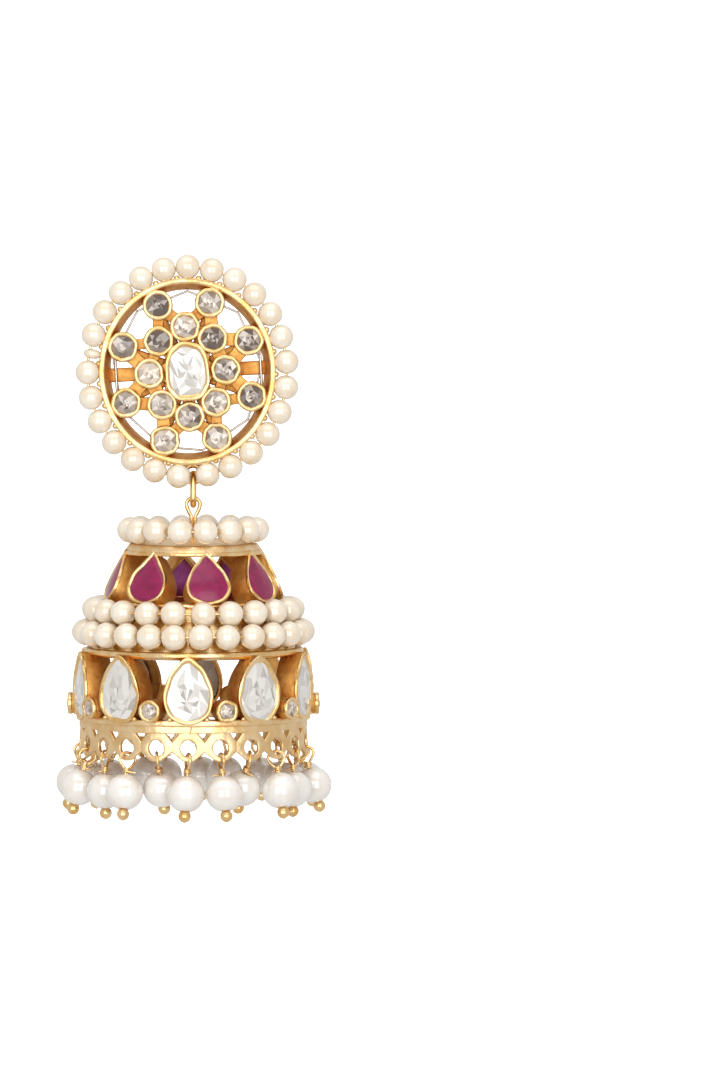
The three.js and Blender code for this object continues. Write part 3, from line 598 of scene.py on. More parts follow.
def gold_finish(name, colours, roughness, dent_mm, dent_height, grain_height):
    """Gold: two tones in slow patches, dents from hand tools, and the fine grain of the polishing cloth."""
    tree, shader, place = new_material(name)
    patches = noise(tree, place, 2.4, 4.0)
    wear = noise(tree, place, 0.7, 5.0)
    dents = bump(tree, noise(tree, place, dent_mm, 2.0), dent_height)
    set_inputs(tree, shader, {
        "Base Color": ramp(tree, patches, [(0.32, colours[0]), (0.68, colours[1])]),
        "Metallic": 1.0,
        "Roughness": ramp(tree, wear, [(0.3, grey(roughness[0])), (0.7, grey(roughness[1]))]),
        "Normal": bump(tree, noise(tree, place, 0.16, 2.0), grain_height, Normal=dents),
    })


def nacre_finish(name, body, blush, roughness):
    """Cultured pearl: a soft body colour with slow blushes, fine growth pits and a glossy clear skin."""
    tree, shader, place = new_material(name)
    clouds = noise(tree, place, 2.2, 3.0)
    set_inputs(tree, shader, {
        "Base Color": ramp(tree, clouds, [(0.36, body), (0.7, blush)]),
        "Roughness": roughness,
        "IOR": 1.53,
        "Coat Weight": 1.0,
        "Coat Roughness": 0.06,
        "Coat IOR": 2.1,
        "Sheen Weight": 0.3,
        "Sheen Tint": (*shade(blush, 0.95), 1),
        "Sheen Roughness": 0.35,
        "Normal": bump(tree, noise(tree, place, 0.5, 3.0), 0.012, Strength=0.5),
    })


def ruby_finish(name, colour):
    """Opaque ruby, polished: cloudy magenta with darker veins and silk, under a glassy skin."""
    tree, shader, place = new_material(name)
    clouds = noise(tree, place, 1.6, 6.0, 0.62)
    stops = [(0.28, shade(colour, 0.7)), (0.5, colour), (0.74, shade(colour, 1.3))]
    set_inputs(tree, shader, {
        "Base Color": ramp(tree, clouds, stops),
        "Roughness": 0.22,
        "IOR": 1.76,
        "Specular IOR Level": 0.22,
        "Coat Weight": 0.12,
        "Coat Roughness": 0.06,
        "Normal": bump(tree, noise(tree, place, 1.1, 4.0), 0.05),
    })


def polki_finish(name, light, dark, share):
    """Uncut diamond on silver foil: each facet its own grey from its tone and painted reflection, mirror
    bright, with faint clouds inside.
    """
    tree, shader, place = new_material(name)
    # The facet's tone and painted reflection, from light to dark facet grey
    facet = add_node(tree, "ShaderNodeAttribute", attribute_name="tint").outputs["Fac"]
    cloud = noise(tree, place, 0.9, 4.0)
    both = add_node(tree, "ShaderNodeMath", {0: cloud, 1: 0.22, 2: facet}, operation="MULTIPLY_ADD")
    set_inputs(tree, shader, {
        "Base Color": ramp(tree, both.outputs[0], [(share, light), (1.0, dark)]),
        "Metallic": 0.12,
        "Roughness": 0.1,
        "Coat Weight": 1.0,
        "Coat Roughness": 0.03,
        "Coat IOR": 2.0,
        "Normal": bump(tree, noise(tree, place, 0.8, 2.0), 0.008),
    })


def paper_finish(name, colour):
    """Matte white paper, with the faint tooth that keeps its light soft."""
    tree, shader, place = new_material(name)
    fibres = noise(tree, place, 3.0, 3.0)
    set_inputs(tree, shader, {
        "Base Color": ramp(tree, fibres, [(0.3, shade(colour, 0.985)), (0.7, colour)]),
        "Roughness": 0.9,
        "Specular IOR Level": 0.1,
        "Emission Color": (1, 1, 1, 1),
        "Emission Strength": 0.95,
    })


# Sizes and colours that a user may change


def colour_property(label, note, hex_colour):
    """A colour with its name, what it is for and its default."""
    return FloatVectorProperty(name=label, description=note, default=linear(hex_colour), size=3,
                               subtype="COLOR", min=0.0, max=1.0)


def length_property(label, note, millimetres):
    """A length with its name, what it is for and its default."""
    return FloatProperty(name=label, description=note, default=millimetres * MM, min=0.0, unit="LENGTH",
                         precision=5)


class JhumkaSizes(bpy.types.PropertyGroup):
    """Sizes of the pearls, wires and lips."""

    seed_pearl: length_property("Seed pearl", "Diameter of a pearl in the rings and rows", 3.15)
    drop_pearl: length_property("Hanging pearl", "Diameter of a pearl that hangs from the band", 5.0)
    drop_ball: length_property("Ball", "Diameter of the gold ball under a hanging pearl", 1.68)
    drop_wire: length_property("Loop wire", "Thickness of the wire that a pearl hangs by", 0.45)
    lip: length_property("Lip", "How far a setting's lip is rubbed over its stone", 0.44)
    dent: length_property("Dents", "Height of the dents that hand tools left in the gold", 0.045)


class JhumkaColours(bpy.types.PropertyGroup):
    """Colours of the metals, stones and pearls."""

    gold: colour_property("Gold", "Burnished gold", "#F7DBAA")
    gold_deep: colour_property("Deep gold", "Gold in its warmer patches", "#E3B46C")
    satin: colour_property("Satin gold", "Sheet gold of the cap, ledge and band", "#F4DAAE")
    satin_deep: colour_property("Deep satin gold", "Sheet gold in its warmer patches", "#E4BB80")
    # Matte gold: the acid's orange, darkened further as painted shade inside the settings
    recess: colour_property("Recess", "Matte gold inside the settings", "#E7B468")
    recess_deep: colour_property("Deep recess", "The darkest matte gold", "#C98B44")
    silver: colour_property("Lacing wire", "The fine wire behind the stud", "#CFCBC6")
    cream: colour_property("Cream pearl", "Body of the seed pearls", "#ECE1CE")
    peach: colour_property("Peach blush", "Blush of the seed pearls", "#E1CAA9")
    white: colour_property("White pearl", "Body of the hanging pearls", "#EAE6DF")
    rose: colour_property("Rose blush", "Blush of the hanging pearls", "#E0D6CB")
    ruby: colour_property("Ruby", "The opaque rubies", "#860D46")
    ruby_back: colour_property("Ruby back", "The rubies' unpolished backs", "#D673E4")
    # Light and dark ends of the stones' facet tones and painted reflections
    diamond: colour_property("Polki", "Light facets of the uncut diamonds", "#DFDBD4")
    foil: colour_property("Foil", "Dark facets of the uncut diamonds", "#7D7267")
    smoke: colour_property("Smoky diamond", "Light facets of the small rose cuts", "#E6D6C2")
    smoke_deep: colour_property("Deep smoke", "Dark facets of the small rose cuts", "#4A3019")
    paper: colour_property("Ground", "Floor and backdrop", "#FFFFFF")


def sizes_of(context):
    """The sizes in millimetres by name."""
    group = context.scene.jhumka_sizes
    return {name: getattr(group, name) / MM for name in JhumkaSizes.__annotations__}


# Steps


class JHUMKA_OT_finishes(bpy.types.Operator):
    """Mixes the finishes of gold, pearl and stone"""

    bl_idname = "jhumka.finishes"
    bl_label = "Mix the finishes"

    def execute(self, context):
        """One material for each metal, stone and pearl."""
        colours = context.scene.jhumka_colours
        tone = {name: tuple(getattr(colours, name)) for name in JhumkaColours.__annotations__}
        dent = sizes_of(context)["dent"]
        # Burnished edges mirror the lights, with soft dents
        gold_finish(BURNISHED, (tone["gold"], tone["gold_deep"]), (0.14, 0.3), 0.9, dent, 0.004)
        # Sheet gold left satin by the pickle and a brass brush
        gold_finish(SATIN, (tone["satin"], tone["satin_deep"]), (0.26, 0.46), 1.1, dent * 2.2, 0.012)
        # Walls of the boxes, matte and orange as the acid leaves them, and darker as painted shade of the
        # recesses
        gold_finish(MATTE, (tone["recess"], tone["recess_deep"]), (0.42, 0.62), 0.9, dent * 2, 0.014)
        # Drawn silver wire, straight from the die: smooth and a little dull
        gold_finish(SILVER, (tone["silver"], shade(tone["silver"], 0.8)), (0.2, 0.35), 0.8, 0.01, 0.003)
        nacre_finish(CREAM, tone["cream"], tone["peach"], 0.3)
        nacre_finish(WHITE, tone["white"], tone["rose"], 0.26)
        ruby_finish(RUBY, tone["ruby"])
        ruby_finish(RUBY_BACK, tone["ruby_back"])
        polki_finish(POLKI, tone["diamond"], tone["foil"], 0.2)
        polki_finish(ROSE_CUT, tone["smoke"], tone["smoke_deep"], 0.1)
        paper_finish(PAPER, tone["paper"])
        return {"FINISHED"}


def stud_collets():
    """Places and numbers of the stud's round stones: two staggered rings, the inner one further forward."""
    places = []
    for number, (half, first, forward) in enumerate(((INNER_RING, 0, 0.25), (OUTER_RING, 22.5, 0))):
        for i in range(COLLETS_PER_RING):
            angle = math.radians(first + 360 / COLLETS_PER_RING * i)
            spot = np.array([half[0] * math.cos(angle), STUD_FRONT - forward, half[1] * math.sin(angle)])
            places.append((spot, 10 * number + i))
    return places


def ellipse(half, angles, y=0.0):
    """Points of an upright ellipse: half width times the cosine, half height times the sine."""
    return np.stack(np.broadcast_arrays(half[0] * np.cos(angles), y, half[1] * np.sin(angles)), axis=-1)


def upright_ring(profile, seed=0, uneven=0.0, **how):
    """A closed profile of (outward, y) carried round the stud's upright ellipse, its front part uneven."""
    angles = circle(96)
    swell = waves(seed, angles, uneven, (3, 12))
    rows = [ellipse((STUD_HALF_WIDTH + out, STUD_HALF_HEIGHT + out), angles,
                    y + swell * (y < STUD_FRONT + 0.4)) for out, y in profile]
    return Shell(np.array(rows), wrap=(True, True), **how)


def box_beam(start, end, width, top, bottom, flare=0.0):
    """A flat strip between two points of the stud's plane: a rounded section that widens toward both ends."""
    start, end = np.asarray(start, float), np.asarray(end, float)
    along = unit(end - start)
    side = np.array([-along[1], along[0]])
    section = rounded(slab(-width / 2, width / 2, top, bottom), 0.15, 3)
    share = np.concatenate([[0], np.linspace(0, 1, 11), [1]])[:, None]
    scale = np.ones(share.shape)
    scale[[0, -1]] = 0
    middle = (top + bottom) / 2
    across = section[:, 0] * scale * (1 + flare * (2 * share - 1) ** 2)
    spots = start + (end - start) * share
    depth = middle + (section[:, 1] - middle) * scale
    grid = np.stack([spots[:, :1] + side[0] * across, depth, spots[:, 1:] + side[1] * across], axis=-1)
    return Shell(grid, finish=MATTE)


class JHUMKA_OT_stud(bpy.types.Operator):
    """Makes the stud's ring, settings, stones, strap and loop"""

    bl_idname = "jhumka.stud"
    bl_label = "Make the stud"

    def execute(self, context):
        """Burnished front edges over matte walls, round stones in two rings and a centre stone."""
        shells = self.ring() + self.stones(sizes_of(context)["lip"]) + self.struts() + self.webs()
        loop = ellipse((LOOP_RADIUS, LOOP_RADIUS), circle(40)) + LOOP_CENTRE
        shells.append(wire(loop, LINK_WIRE, (0, 1, 0), 14, closed=True))
        make_piece("stud_setting", "stud", ["stud_frame", "centre_stone"], "gold", shells, on_stud)
        self.post()
        return {"FINISHED"}

    def ring(self):
        """The oval wall, matte and slanting in toward the back, and its burnished edge."""
        low, wall = STUD_FRONT + 0.25, STUD_WALL
        sides = [[0, low], [-0.35, STUD_BACK], [-wall - 0.85, STUD_BACK], [-wall, low]]
        edge = [[0.1, STUD_FRONT + 0.6], [0.26, STUD_FRONT + 0.05], [-wall * 0.4, STUD_FRONT - 0.08],
                [-wall - 0.04, STUD_FRONT + 0.05], [-wall - 0.02, STUD_FRONT + 0.6]]
        return [upright_ring(rounded(sides, 0.1, 3), finish=MATTE),
                upright_ring(rounded(edge, 0.18), seed=3, uneven=0.03)]

    def stones(self, lip):
        """The round settings of both rings and the centre box, each down to the strap behind it."""
        shells = []
        for spot, number in stud_collets():
            depth = -spot[1] - STRAP_THICKNESS
            setting = round_setting(COLLET_DIAMETER, COLLET_STONE, depth, COLLET_SEED + number,
                                    STONE_TONES[number])
            shells += [shell.moved(lambda points: points + spot) for shell in setting]
        centre = set_stone(squared(CENTRE_HALF), -CENTRE_FRONT - 0.4, POLKI_RISE, 5, lip, tabled, POLKI)
        return shells + [shell.moved(lambda points: points + [0, CENTRE_FRONT, 0]) for shell in centre]

    def struts(self):
        """The strap across the back, and the solder struts from the middle out to the ring."""
        reach, high = STUD_HALF_WIDTH - STUD_WALL / 2, STUD_HALF_HEIGHT - STUD_WALL / 2
        shells = [box_beam((-reach, 0), (reach, 0), STRAP_WIDTH, -STRAP_THICKNESS, 0)]
        for angle in circle(STRUTS, math.pi / STRUTS):
            spoke = np.array([math.cos(angle), math.sin(angle)])
            end = 1 / math.hypot(spoke[0] / reach, spoke[1] / high)
            shells.append(box_beam(spoke * STRUT_START, spoke * end, STRUT_WIDTH, -1.3, -0.5))
        return shells

    def webs(self):
        """The solder between neighbouring settings: short thick strips a little below their lips."""
        spots = [spot[[0, 2]] for spot, _ in stud_collets()]
        inner, outer = spots[:COLLETS_PER_RING], spots[COLLETS_PER_RING:]
        pairs = [*zip(inner, inner[1:] + inner[:1]), *zip(inner, outer), *zip(inner, outer[-1:] + outer[:-1]),
                 *((spot, spot * 0.5) for spot in inner)]
        return [box_beam(a, b, WEB_WIDTH - 0.15 * (i % 4), WEB_TOP + 0.1 * (i % 4), WEB_BOTTOM, flare=1.0)
                for i, (a, b) in enumerate(pairs)]

    def post(self):
        """The pin and its pad as (radius, reach) turned about the pin, with a groove near the pin's end."""
        pin = POST_RADIUS
        profile = [[0, 0.15], [1.42, 0.15], [1.5, 0.2], [1.5, 0.5], [1.42, 0.55], [0.62, 0.56], [pin, 0.75],
                   [pin, 7.9], [pin * 0.8, 8.05], [pin * 0.8, 8.35], [pin, 8.5], [pin, 9.6],
                   [pin * 0.8, 10.0], [pin * 0.4, 10.15], [0, 10.15]]
        shell = turned(profile, 28).moved(lambda points: points[:, [0, 2, 1]] * [1, 1, -1])
        make_piece("ear_pin", "stud", ["ear_post"], "gold", [shell], on_stud)


def stud_pearl_places(diameter):
    """Places of the pearls round the stud, by their share of its girth from the bottom loop toward +X."""
    girth = np.pi * math.sqrt(2 * (STUD_PEARL_RING[0] ** 2 + STUD_PEARL_RING[1] ** 2))
    gap = (girth - CHIP_WIDTH - STUD_GAP - STUD_PEARLS * diameter) / (STUD_PEARLS + 1)
    widths = np.full(STUD_PEARLS + 1, diameter)
    widths[CHIP_AFTER] = CHIP_WIDTH
    middles = STUD_GAP / 2 + gap / 2 + np.cumsum(widths + gap) - gap - widths / 2
    return -np.pi / 2 + TURN * middles / girth, widths


class JHUMKA_OT_stud_pearls(bpy.types.Operator):
    """Strings the pearls round the stud, and laces them to it"""

    bl_idname = "jhumka.stud_pearls"
    bl_label = "String the stud's pearls"

    def execute(self, context):
        """Pearls, one of them a chip, on a thread, with a gold bead on the ring's edge beside each gap."""
        angles, widths = stud_pearl_places(sizes_of(context)["seed_pearl"])
        centres = ellipse(STUD_PEARL_RING, angles, STUD_PEARL_Y)
        along = unit(ellipse(STUD_PEARL_RING, angles + np.pi / 2))
        shells = []
        for i, (centre, way, width) in enumerate(zip(centres, along, widths)):
            if i == CHIP_AFTER:
                inward = unit(centre * [-1, 0, -1]) * CHIP_INWARD
                shells.append(pearl(centre + inward, way, CHIP_DIAMETER, STUD_PEARL_SEED + i,
                                    stretch=CHIP_STRETCH))
            else:
                shells.append(pearl(centre, way, STUD_PEARL_SWELL * width, STUD_PEARL_SEED + i))
        thread = np.linspace(angles[0], angles[-1], 120)
        shells.append(wire(ellipse(STUD_PEARL_RING, thread, STUD_PEARL_Y), STUD_THREAD, (0, 1, 0), 8))
        for angle in (angles[1:] + angles[:-1]) / 2:
            edge = ellipse((STUD_HALF_WIDTH, STUD_HALF_HEIGHT), angle, STUD_FRONT + 0.45)
            shells.append(bead(edge + ellipse((1, 1), angle) * 0.2, EDGE_BEAD))
        make_piece("stud_pearl_string", "stud", ["stud_pearls"], "seed_pearl", shells, on_stud)
        self.lacing(angles)
        return {"FINISHED"}

    def lacing(self, angles):
        """The fine wire behind the stud that ties the string down: runs of three pearls, and two stitches."""
        half = (STUD_HALF_WIDTH - LACING_INSET, STUD_HALF_HEIGHT - LACING_INSET)
        spots = ellipse(half, angles[::3], LACING_Y)
        runs = [wire(np.linspace(a, b, 4), LACING_WIRE, (0, 1, 0), 8, finish=SILVER)
                for a, b in zip(spots, np.roll(spots, -1, axis=0))]
        for x in STITCH_PLACES:
            upright = np.linspace([x, STITCH_Y, -STITCH_HALF], [x, STITCH_Y, STITCH_HALF], 5)
            runs.append(wire(upright, STITCH_WIRE, (0, 1, 0), 8, finish=SILVER))
        make_piece("stud_lacing", "stud", [], "gold", runs, on_stud)


class JHUMKA_OT_link(bpy.types.Operator):
    """Makes the link between the stud and the bell"""

    bl_idname = "jhumka.link"
    bl_label = "Make the link"

    def execute(self, context):
        """A long ring: two half circles joined by straight sides."""
        angles = circle(48)
        lift = np.where(np.sin(angles) < 0, -LINK_STRAIGHT, 0.0)
        path = np.stack([0 * angles, LINK_ARC * np.cos(angles), LINK_ARC * np.sin(angles) + lift], axis=-1)
        ring = wire(path + LOOP_WIRE, LINK_WIRE, (1, 0, 0), 16, closed=True)
        make_piece("swing_link", "link", ["hanging_link"], "gold", [ring])
        return {"FINISHED"}


def cone_at(along, off):
    """Radius and height on the cone: down its slope by one length and straight off it by the other."""
    tilt = math.radians(CONE_TILT)
    return (CONE_TOP[0] + along * math.sin(tilt) + off * math.cos(tilt),
            CONE_TOP[1] - along * math.cos(tilt) + off * math.sin(tilt))


def band_radius(height):
    """The band's outer radius: it flares evenly from top to bottom."""
    return BAND_TOP_RADIUS + BAND_FLARE * (BAND_TOP - height) / (BAND_TOP - BAND_BOTTOM)


def cell_reach(angles):
    """How far the metal goes from a hole's centre: to the nearest side of a cell with cut corners."""
    half = math.pi * band_radius(HOLE_HEIGHT) / CELLS
    corners = np.array([[0.0, 2.2], [half - 0.95, 2.1], [half + 0.3, 0.55], [half + 0.3, -0.3],
                        [1.36, -1.2], [0.8, -1.66], [0.0, -1.8]])
    start = np.concatenate([corners, corners[-2:0:-1] * [-1, 1]])
    side = np.roll(start, -1, axis=0) - start
    ray = np.stack([np.cos(angles), np.sin(angles)], axis=-1)[:, None]
    cross = ray[..., 0] * side[:, 1] - ray[..., 1] * side[:, 0]
    reach = (start[:, 0] * side[:, 1] - start[:, 1] * side[:, 0]) / cross
    share = (start[:, 0] * ray[..., 1] - start[:, 1] * ray[..., 0]) / cross
    return np.where((share >= -1e-9) & (share <= 1 + 1e-9) & (reach > 0), reach, np.inf).min(axis=1)


def squashed(wave, power=0.42):
    """A cosine or sine pushed toward its ends, which turns a circle into a rounded square."""
    return (np.sign(wave) * np.abs(wave) ** power)[:, None]


def band_cell(number):
    """One cell of the pierced band: a rounded flat section between the hole and the cell's own outline."""
    angles = circle(80)
    outer = cell_reach(angles)
    outer = (np.roll(outer, 1) + 6 * outer + np.roll(outer, -1)) / 8
    inner = HOLE_RADIUS + waves(CELL_SEED + number, angles, 0.02)
    wide, deep = squashed(np.cos(circle(16))), squashed(np.sin(circle(16)))
    reach = (inner + outer) / 2 + wide * (outer - inner) / 2
    x = reach * np.cos(angles)
    z = reach * np.sin(angles) + HOLE_HEIGHT
    depth = band_radius(z) - BAND_WALL / 2 * (1 - deep) + 0.03 * np.cos(x * 1.3)
    turn = math.radians(CELL_FIRST + 360 * number / CELLS) + x / band_radius(HOLE_HEIGHT)
    grid = np.stack([depth * np.sin(turn), -depth * np.cos(turn), z], axis=-1)
    return Shell(grid, finish=SATIN, wrap=(True, True))


class JHUMKA_OT_bell(bpy.types.Operator):
    """Makes the bell's cap, cone, settings, ledge and pierced band"""

    bl_idname = "jhumka.bell"
    bl_label = "Make the bell"

    def execute(self, context):
        """Gold parts from the eye down to the band, then the settings with their stones."""
        shells = self.cap() + self.eye() + self.cone() + self.ledge() + self.band()
        make_piece("bell_gold", "bell", ["bell_frame"], "gold", shells, on_bell)
        lip = sizes_of(context)["lip"]
        self.rubies(lip)
        self.polkis(lip)
        self.small_stones()
        return {"FINISHED"}

    def cap(self):
        """A low beaten dome with its rolled rim and the wall that the ruby boxes are soldered to."""
        along = np.linspace(0, 1, 26)
        beaten = 0.05 * np.sin(along * 24)
        top = np.stack([along * CAP_RADIUS, CAP_TOP + (CAP_EDGE - CAP_TOP) * along ** 1.6 + beaten], axis=1)
        skirt = np.array([[CAP_RADIUS + 0.15, CAP_EDGE - 0.2], [CAP_RIM_RADIUS - 0.25, CAP_RIM_TOP + 0.1],
                          [CAP_RIM_RADIUS - 0.3, CAP_RIM_BOTTOM + 0.05], [CAP_RADIUS - 0.5, CAP_RIM_BOTTOM],
                          [CAP_RADIUS - 0.5, CAP_EDGE - 0.5]])
        under = top[-2::-1] - [0.0, 0.45]
        dome = turned(np.concatenate([top, skirt, under]), 96, 0.003, 11, finish=SATIN)
        section = slab(CAP_RIM_RADIUS - 0.5, CAP_RIM_RADIUS, CAP_RIM_TOP, CAP_RIM_BOTTOM)
        section[1][1] -= 0.03
        return [dome, rolled_ring(section, 0.22, 120, unevenness=0.004, seed=12)]

    def eye(self):
        """The wire that goes round the link and down into the cap, its two strands side by side."""
        bend, strand = (LINK_WIRE + EYE_WIRE) / 2 + 0.2, EYE_WIRE * 0.5
        half = [[0, bend], [bend * 0.72, bend * 0.7], [bend, 0], [bend * 0.62, -bend * 1.1],
                [strand, -bend * 1.9], [strand, CAP_TOP - 0.2]]
        return [wire(hairpin(half, [1, 0, 0], 70), EYE_WIRE, (0, 1, 0), 12)]

    def cone(self):
        """The plain cone behind the pearls, with a seat above and a rolled rim below, beaten unevenly."""
        outer = [cone_at(along, 0) for along in np.linspace(0, CONE_LENGTH, 8)]
        inner = [cone_at(along, -CONE_WALL) for along in np.linspace(CONE_LENGTH, 0, 8)]
        rim = [[RIM_RADIUS - 0.9, RIM_TOP], [RIM_RADIUS - 0.1, RIM_TOP - 0.08],
               [RIM_RADIUS, RIM_BOTTOM + 0.1], [RIM_RADIUS - 0.9, RIM_BOTTOM]]
        radius, height = CONE_TOP
        seat = [[radius - 0.5, height + 0.3], [radius + 0.25, height + 0.2],
                [radius + 0.3, height - 0.35], [radius - 0.5, height - 0.4]]
        return [closed_ring(np.array(outer + inner), 110, unevenness=0.002, seed=13),
                rolled_ring(rim, 0.3, 132, unevenness=0.005, seed=14),
                rolled_ring(seat, 0.2, 110, 3, unevenness=0.004, seed=15)]

    def ledge(self):
        """The flat ledge under the boxes, with grains soldered to its edge."""
        section = slab(LEDGE_INNER, LEDGE_OUTER, LEDGE_TOP, LEDGE_BOTTOM)
        grains = around(POLKI_FIRST + 360 * (np.arange(POLKIS * 2) + 0.5) / (POLKIS * 2), LEDGE_OUTER + 0.12,
                        LEDGE_TOP + 0.12)
        return [rolled_ring(section, 0.22, 120, unevenness=0.003, seed=16, finish=SATIN)] + [
            bead(spot, LEDGE_GRAIN, 0.8) for spot in grains]

    def band(self):
        """The pierced band: a plain strip with its solder seam over twenty-two soldered cells."""
        low = HOLE_HEIGHT + 1.95
        section = [[BAND_TOP_RADIUS + 0.06, BAND_TOP + 0.15], [band_radius(low) + 0.05, low],
                   [band_radius(low) - BAND_WALL, low], [BAND_TOP_RADIUS - BAND_WALL, BAND_TOP + 0.15]]
        front = -BAND_TOP_RADIUS - 0.05
        seam = np.linspace([-0.25, front, BAND_TOP + 0.1], [-0.5, front, low], 6)
        return [rolled_ring(section, 0.15, 132, unevenness=0.003, seed=17, finish=SATIN),
                wire(seam, 0.16, (0, 1, 0), 6, finish=MATTE)] + [band_cell(i) for i in range(CELLS)]

    def rubies(self, lip):
        """Eight drop-shaped cabochons in open boxes, leaning back. Their rough backs show from inside."""
        for i in range(RUBIES):
            place = stationed(RUBY_FIRST + 360 * i / RUBIES, RUBY_RADIUS, RUBY_HEIGHT, RUBY_TILT)
            outline = teardrop(RUBY_SIZE, 1.15)
            middle = outline[2]
            shells = set_stone(outline, RUBY_DEPTH, RUBY_RISE, RUBY_SEED + i, lip * 0.7, domed, RUBY)
            shells.append(walled(outline, [[0.36, 0.78], [0.36, 0.84], [middle, 0.9], [middle, 0.78]],
                                 finish=RUBY_BACK))
            make_piece(f"ruby_setting_{i + 1}", "bell", [f"ruby_{i + 1}"], "ruby", shells, place, on_bell)

    def polkis(self, lip):
        """Ten uncut diamonds, point up, in deep open boxes with wide burnished lips."""
        for i in range(POLKIS):
            place = stationed(POLKI_FIRST + 360 * i / POLKIS, POLKI_RADIUS, POLKI_HEIGHT)
            outline = teardrop(POLKI_SIZE, 0.5)
            shells = set_stone(outline, POLKI_DEPTH, POLKI_RISE, POLKI_SEED + i, lip, uncut, POLKI)
            make_piece(f"polki_setting_{i + 1}", "bell", [f"polki_{i + 1}"], "polki", shells, place, on_bell)

    def small_stones(self):
        """Ten little collets between the boxes."""
        shells = []
        for i in range(POLKIS):
            place = stationed(POLKI_FIRST + 360 * (i + 0.5) / POLKIS, SMALL_RADIUS, SMALL_HEIGHT)
            setting = round_setting(SMALL_COLLET, SMALL_STONE, SMALL_DEPTH, SMALL_SEED + i)
            shells += [shell.moved(place) for shell in setting]
        make_piece("small_settings", "bell", [], "gold", shells, on_bell)


class JHUMKA_OT_pearl_rows(bpy.types.Operator):
    """Strings the pearls round the bell"""

    bl_idname = "jhumka.pearl_rows"
    bl_label = "String the bell's pearls"

    def execute(self, context):
        """A ring of pearls on the cap and two rows on the cone, each on its thread."""
        diameter = sizes_of(context)["seed_pearl"]
        for number, (name, node, count, radius, height, first) in enumerate(PEARL_ROWS):
            random = np.random.default_rng(ROW_SEED + number)
            degrees = first + 360 * np.arange(count) / count + random.uniform(-0.5, 0.5, count)
            widths = diameter * (ROW_PEARL_SWELL + random.uniform(-0.02, 0.015, count))
            centres = around(degrees, radius, height + random.uniform(-0.06, 0.06, count))
            along = around(degrees + 90, 1.0, 0.0)
            seeds = range(ROW_PEARL_SEED + 40 * number, ROW_PEARL_SEED + 40 * number + count)
            shells = [pearl(*facts) for facts in zip(centres, along, widths, seeds)]
            loop = around(np.degrees(circle(120)), radius, height)
            shells.append(wire(loop, ROW_THREAD, (0, 0, 1), 8, closed=True))
            make_piece(name, "bell", [node], "seed_pearl", shells, on_bell)
        return {"FINISHED"}


def hanging_turn(node, degrees, twist):
    """How a hanging pearl is turned: about Z by its own angle, then from straight down to its ball."""
    mesh = frame["nodes"][node].data
    points = np.empty(len(mesh.vertices) * 3)
    mesh.vertices.foreach_get("co", points)
    points = points.reshape(-1, 3) / MM
    pivot = on_bell(around(degrees, PIVOT_RADIUS, PIVOT_HEIGHT))
    reach = np.linalg.norm(points - pivot, axis=1)
    low = points[reach > reach.max() - 0.02].mean(axis=0)
    hang = unit(low - pivot)
    down = np.array([0.0, 0.0, -1.0])
    axis = np.cross(down, hang)
    cross = np.array([[0, -axis[2], axis[1]], [axis[2], 0, -axis[0]], [-axis[1], axis[0], 0]])
    lean = np.eye(3) + cross + cross @ cross / (1 + down @ hang)
    turn = math.radians(degrees + twist)
    spin = np.array([[math.cos(turn), -math.sin(turn), 0], [math.sin(turn), math.cos(turn), 0], [0, 0, 1]])
    return lean @ spin, pivot


class JHUMKA_OT_drops(bpy.types.Operator):
    """Hangs the pearls from the band"""

    bl_idname = "jhumka.drops"
    bl_label = "Hang the pearls"

    def execute(self, context):
        """A pearl in each cell's hole, turned a little on its loop, each by its own angle."""
        size = sizes_of(context)
        for i in range(CELLS):
            degrees = CELL_FIRST + 360 * i / CELLS
            matrix, pivot = hanging_turn(f"drop_{i + 1}", degrees, TWIST_DEG * math.sin(2.4 * i + 0.6))
            make_piece(f"hanging_pearl_{i + 1}", "bell", [f"drop_{i + 1}"], "drop_pearl", self.drop(size, i),
                       lambda points: points @ matrix.T + pivot)
        return {"FINISHED"}

    def drop(self, size, number):
        """A pearl on a ball pin below its loop's top, the wire wrapped round its own neck and cut."""
        random = np.random.default_rng(DROP_SEED + number)
        radius, gauge, ball = size["drop_pearl"] / 2, size["drop_wire"], size["drop_ball"] / 2
        centre = np.array([0, 0, -DROP_REACH])
        body = pearl(centre, (0, 0, 1), 2 * radius * 0.995, DROP_SEED + number, WHITE, 19, 28,
                     1 - random.uniform(0, 0.02))
        half = [[0, 0], [0.85, -0.28], [1.15, -1.1], [0.5, -2.0], [0.17, -2.35],
                [0.1, radius - DROP_REACH - 0.2]]
        loop = wire(hairpin(half, [0, 1, 0], 44), gauge * 0.92, (1, 0, 0), 9)
        turns = np.linspace(0, random.uniform(2.2, 3.0) * TURN, 40)
        start = random.uniform(0, TURN)
        coil = np.stack([COIL_RADIUS * np.cos(turns + start), COIL_RADIUS * np.sin(turns + start),
                         COIL_TOP - turns / TURN * COIL_PITCH], axis=-1)
        leaving = turns[-1] + start + 1.2
        out = unit([math.cos(leaving), math.sin(leaving), -0.12])
        tail = coil[-1] + out * np.linspace(0.15, random.uniform(0.5, 1.3), 5)[:, None]
        bottom = -DROP_REACH - radius
        point = random.uniform(0.0, 0.12)
        profile = [[0, bottom + 0.4], [0.3, bottom + 0.3], [0.34, bottom + 0.2]]
        profile += [[ball * math.sin(a), bottom - 0.47 + ball * math.cos(a) - point * (a > 3)]
                    for a in np.linspace(0.45, np.pi, 12)]
        profile[-1][0] = 0
        return [body, loop, wire(np.concatenate([coil, tail]), COIL_WIRE, (0, 0, 1), 7), turned(profile, 20)]


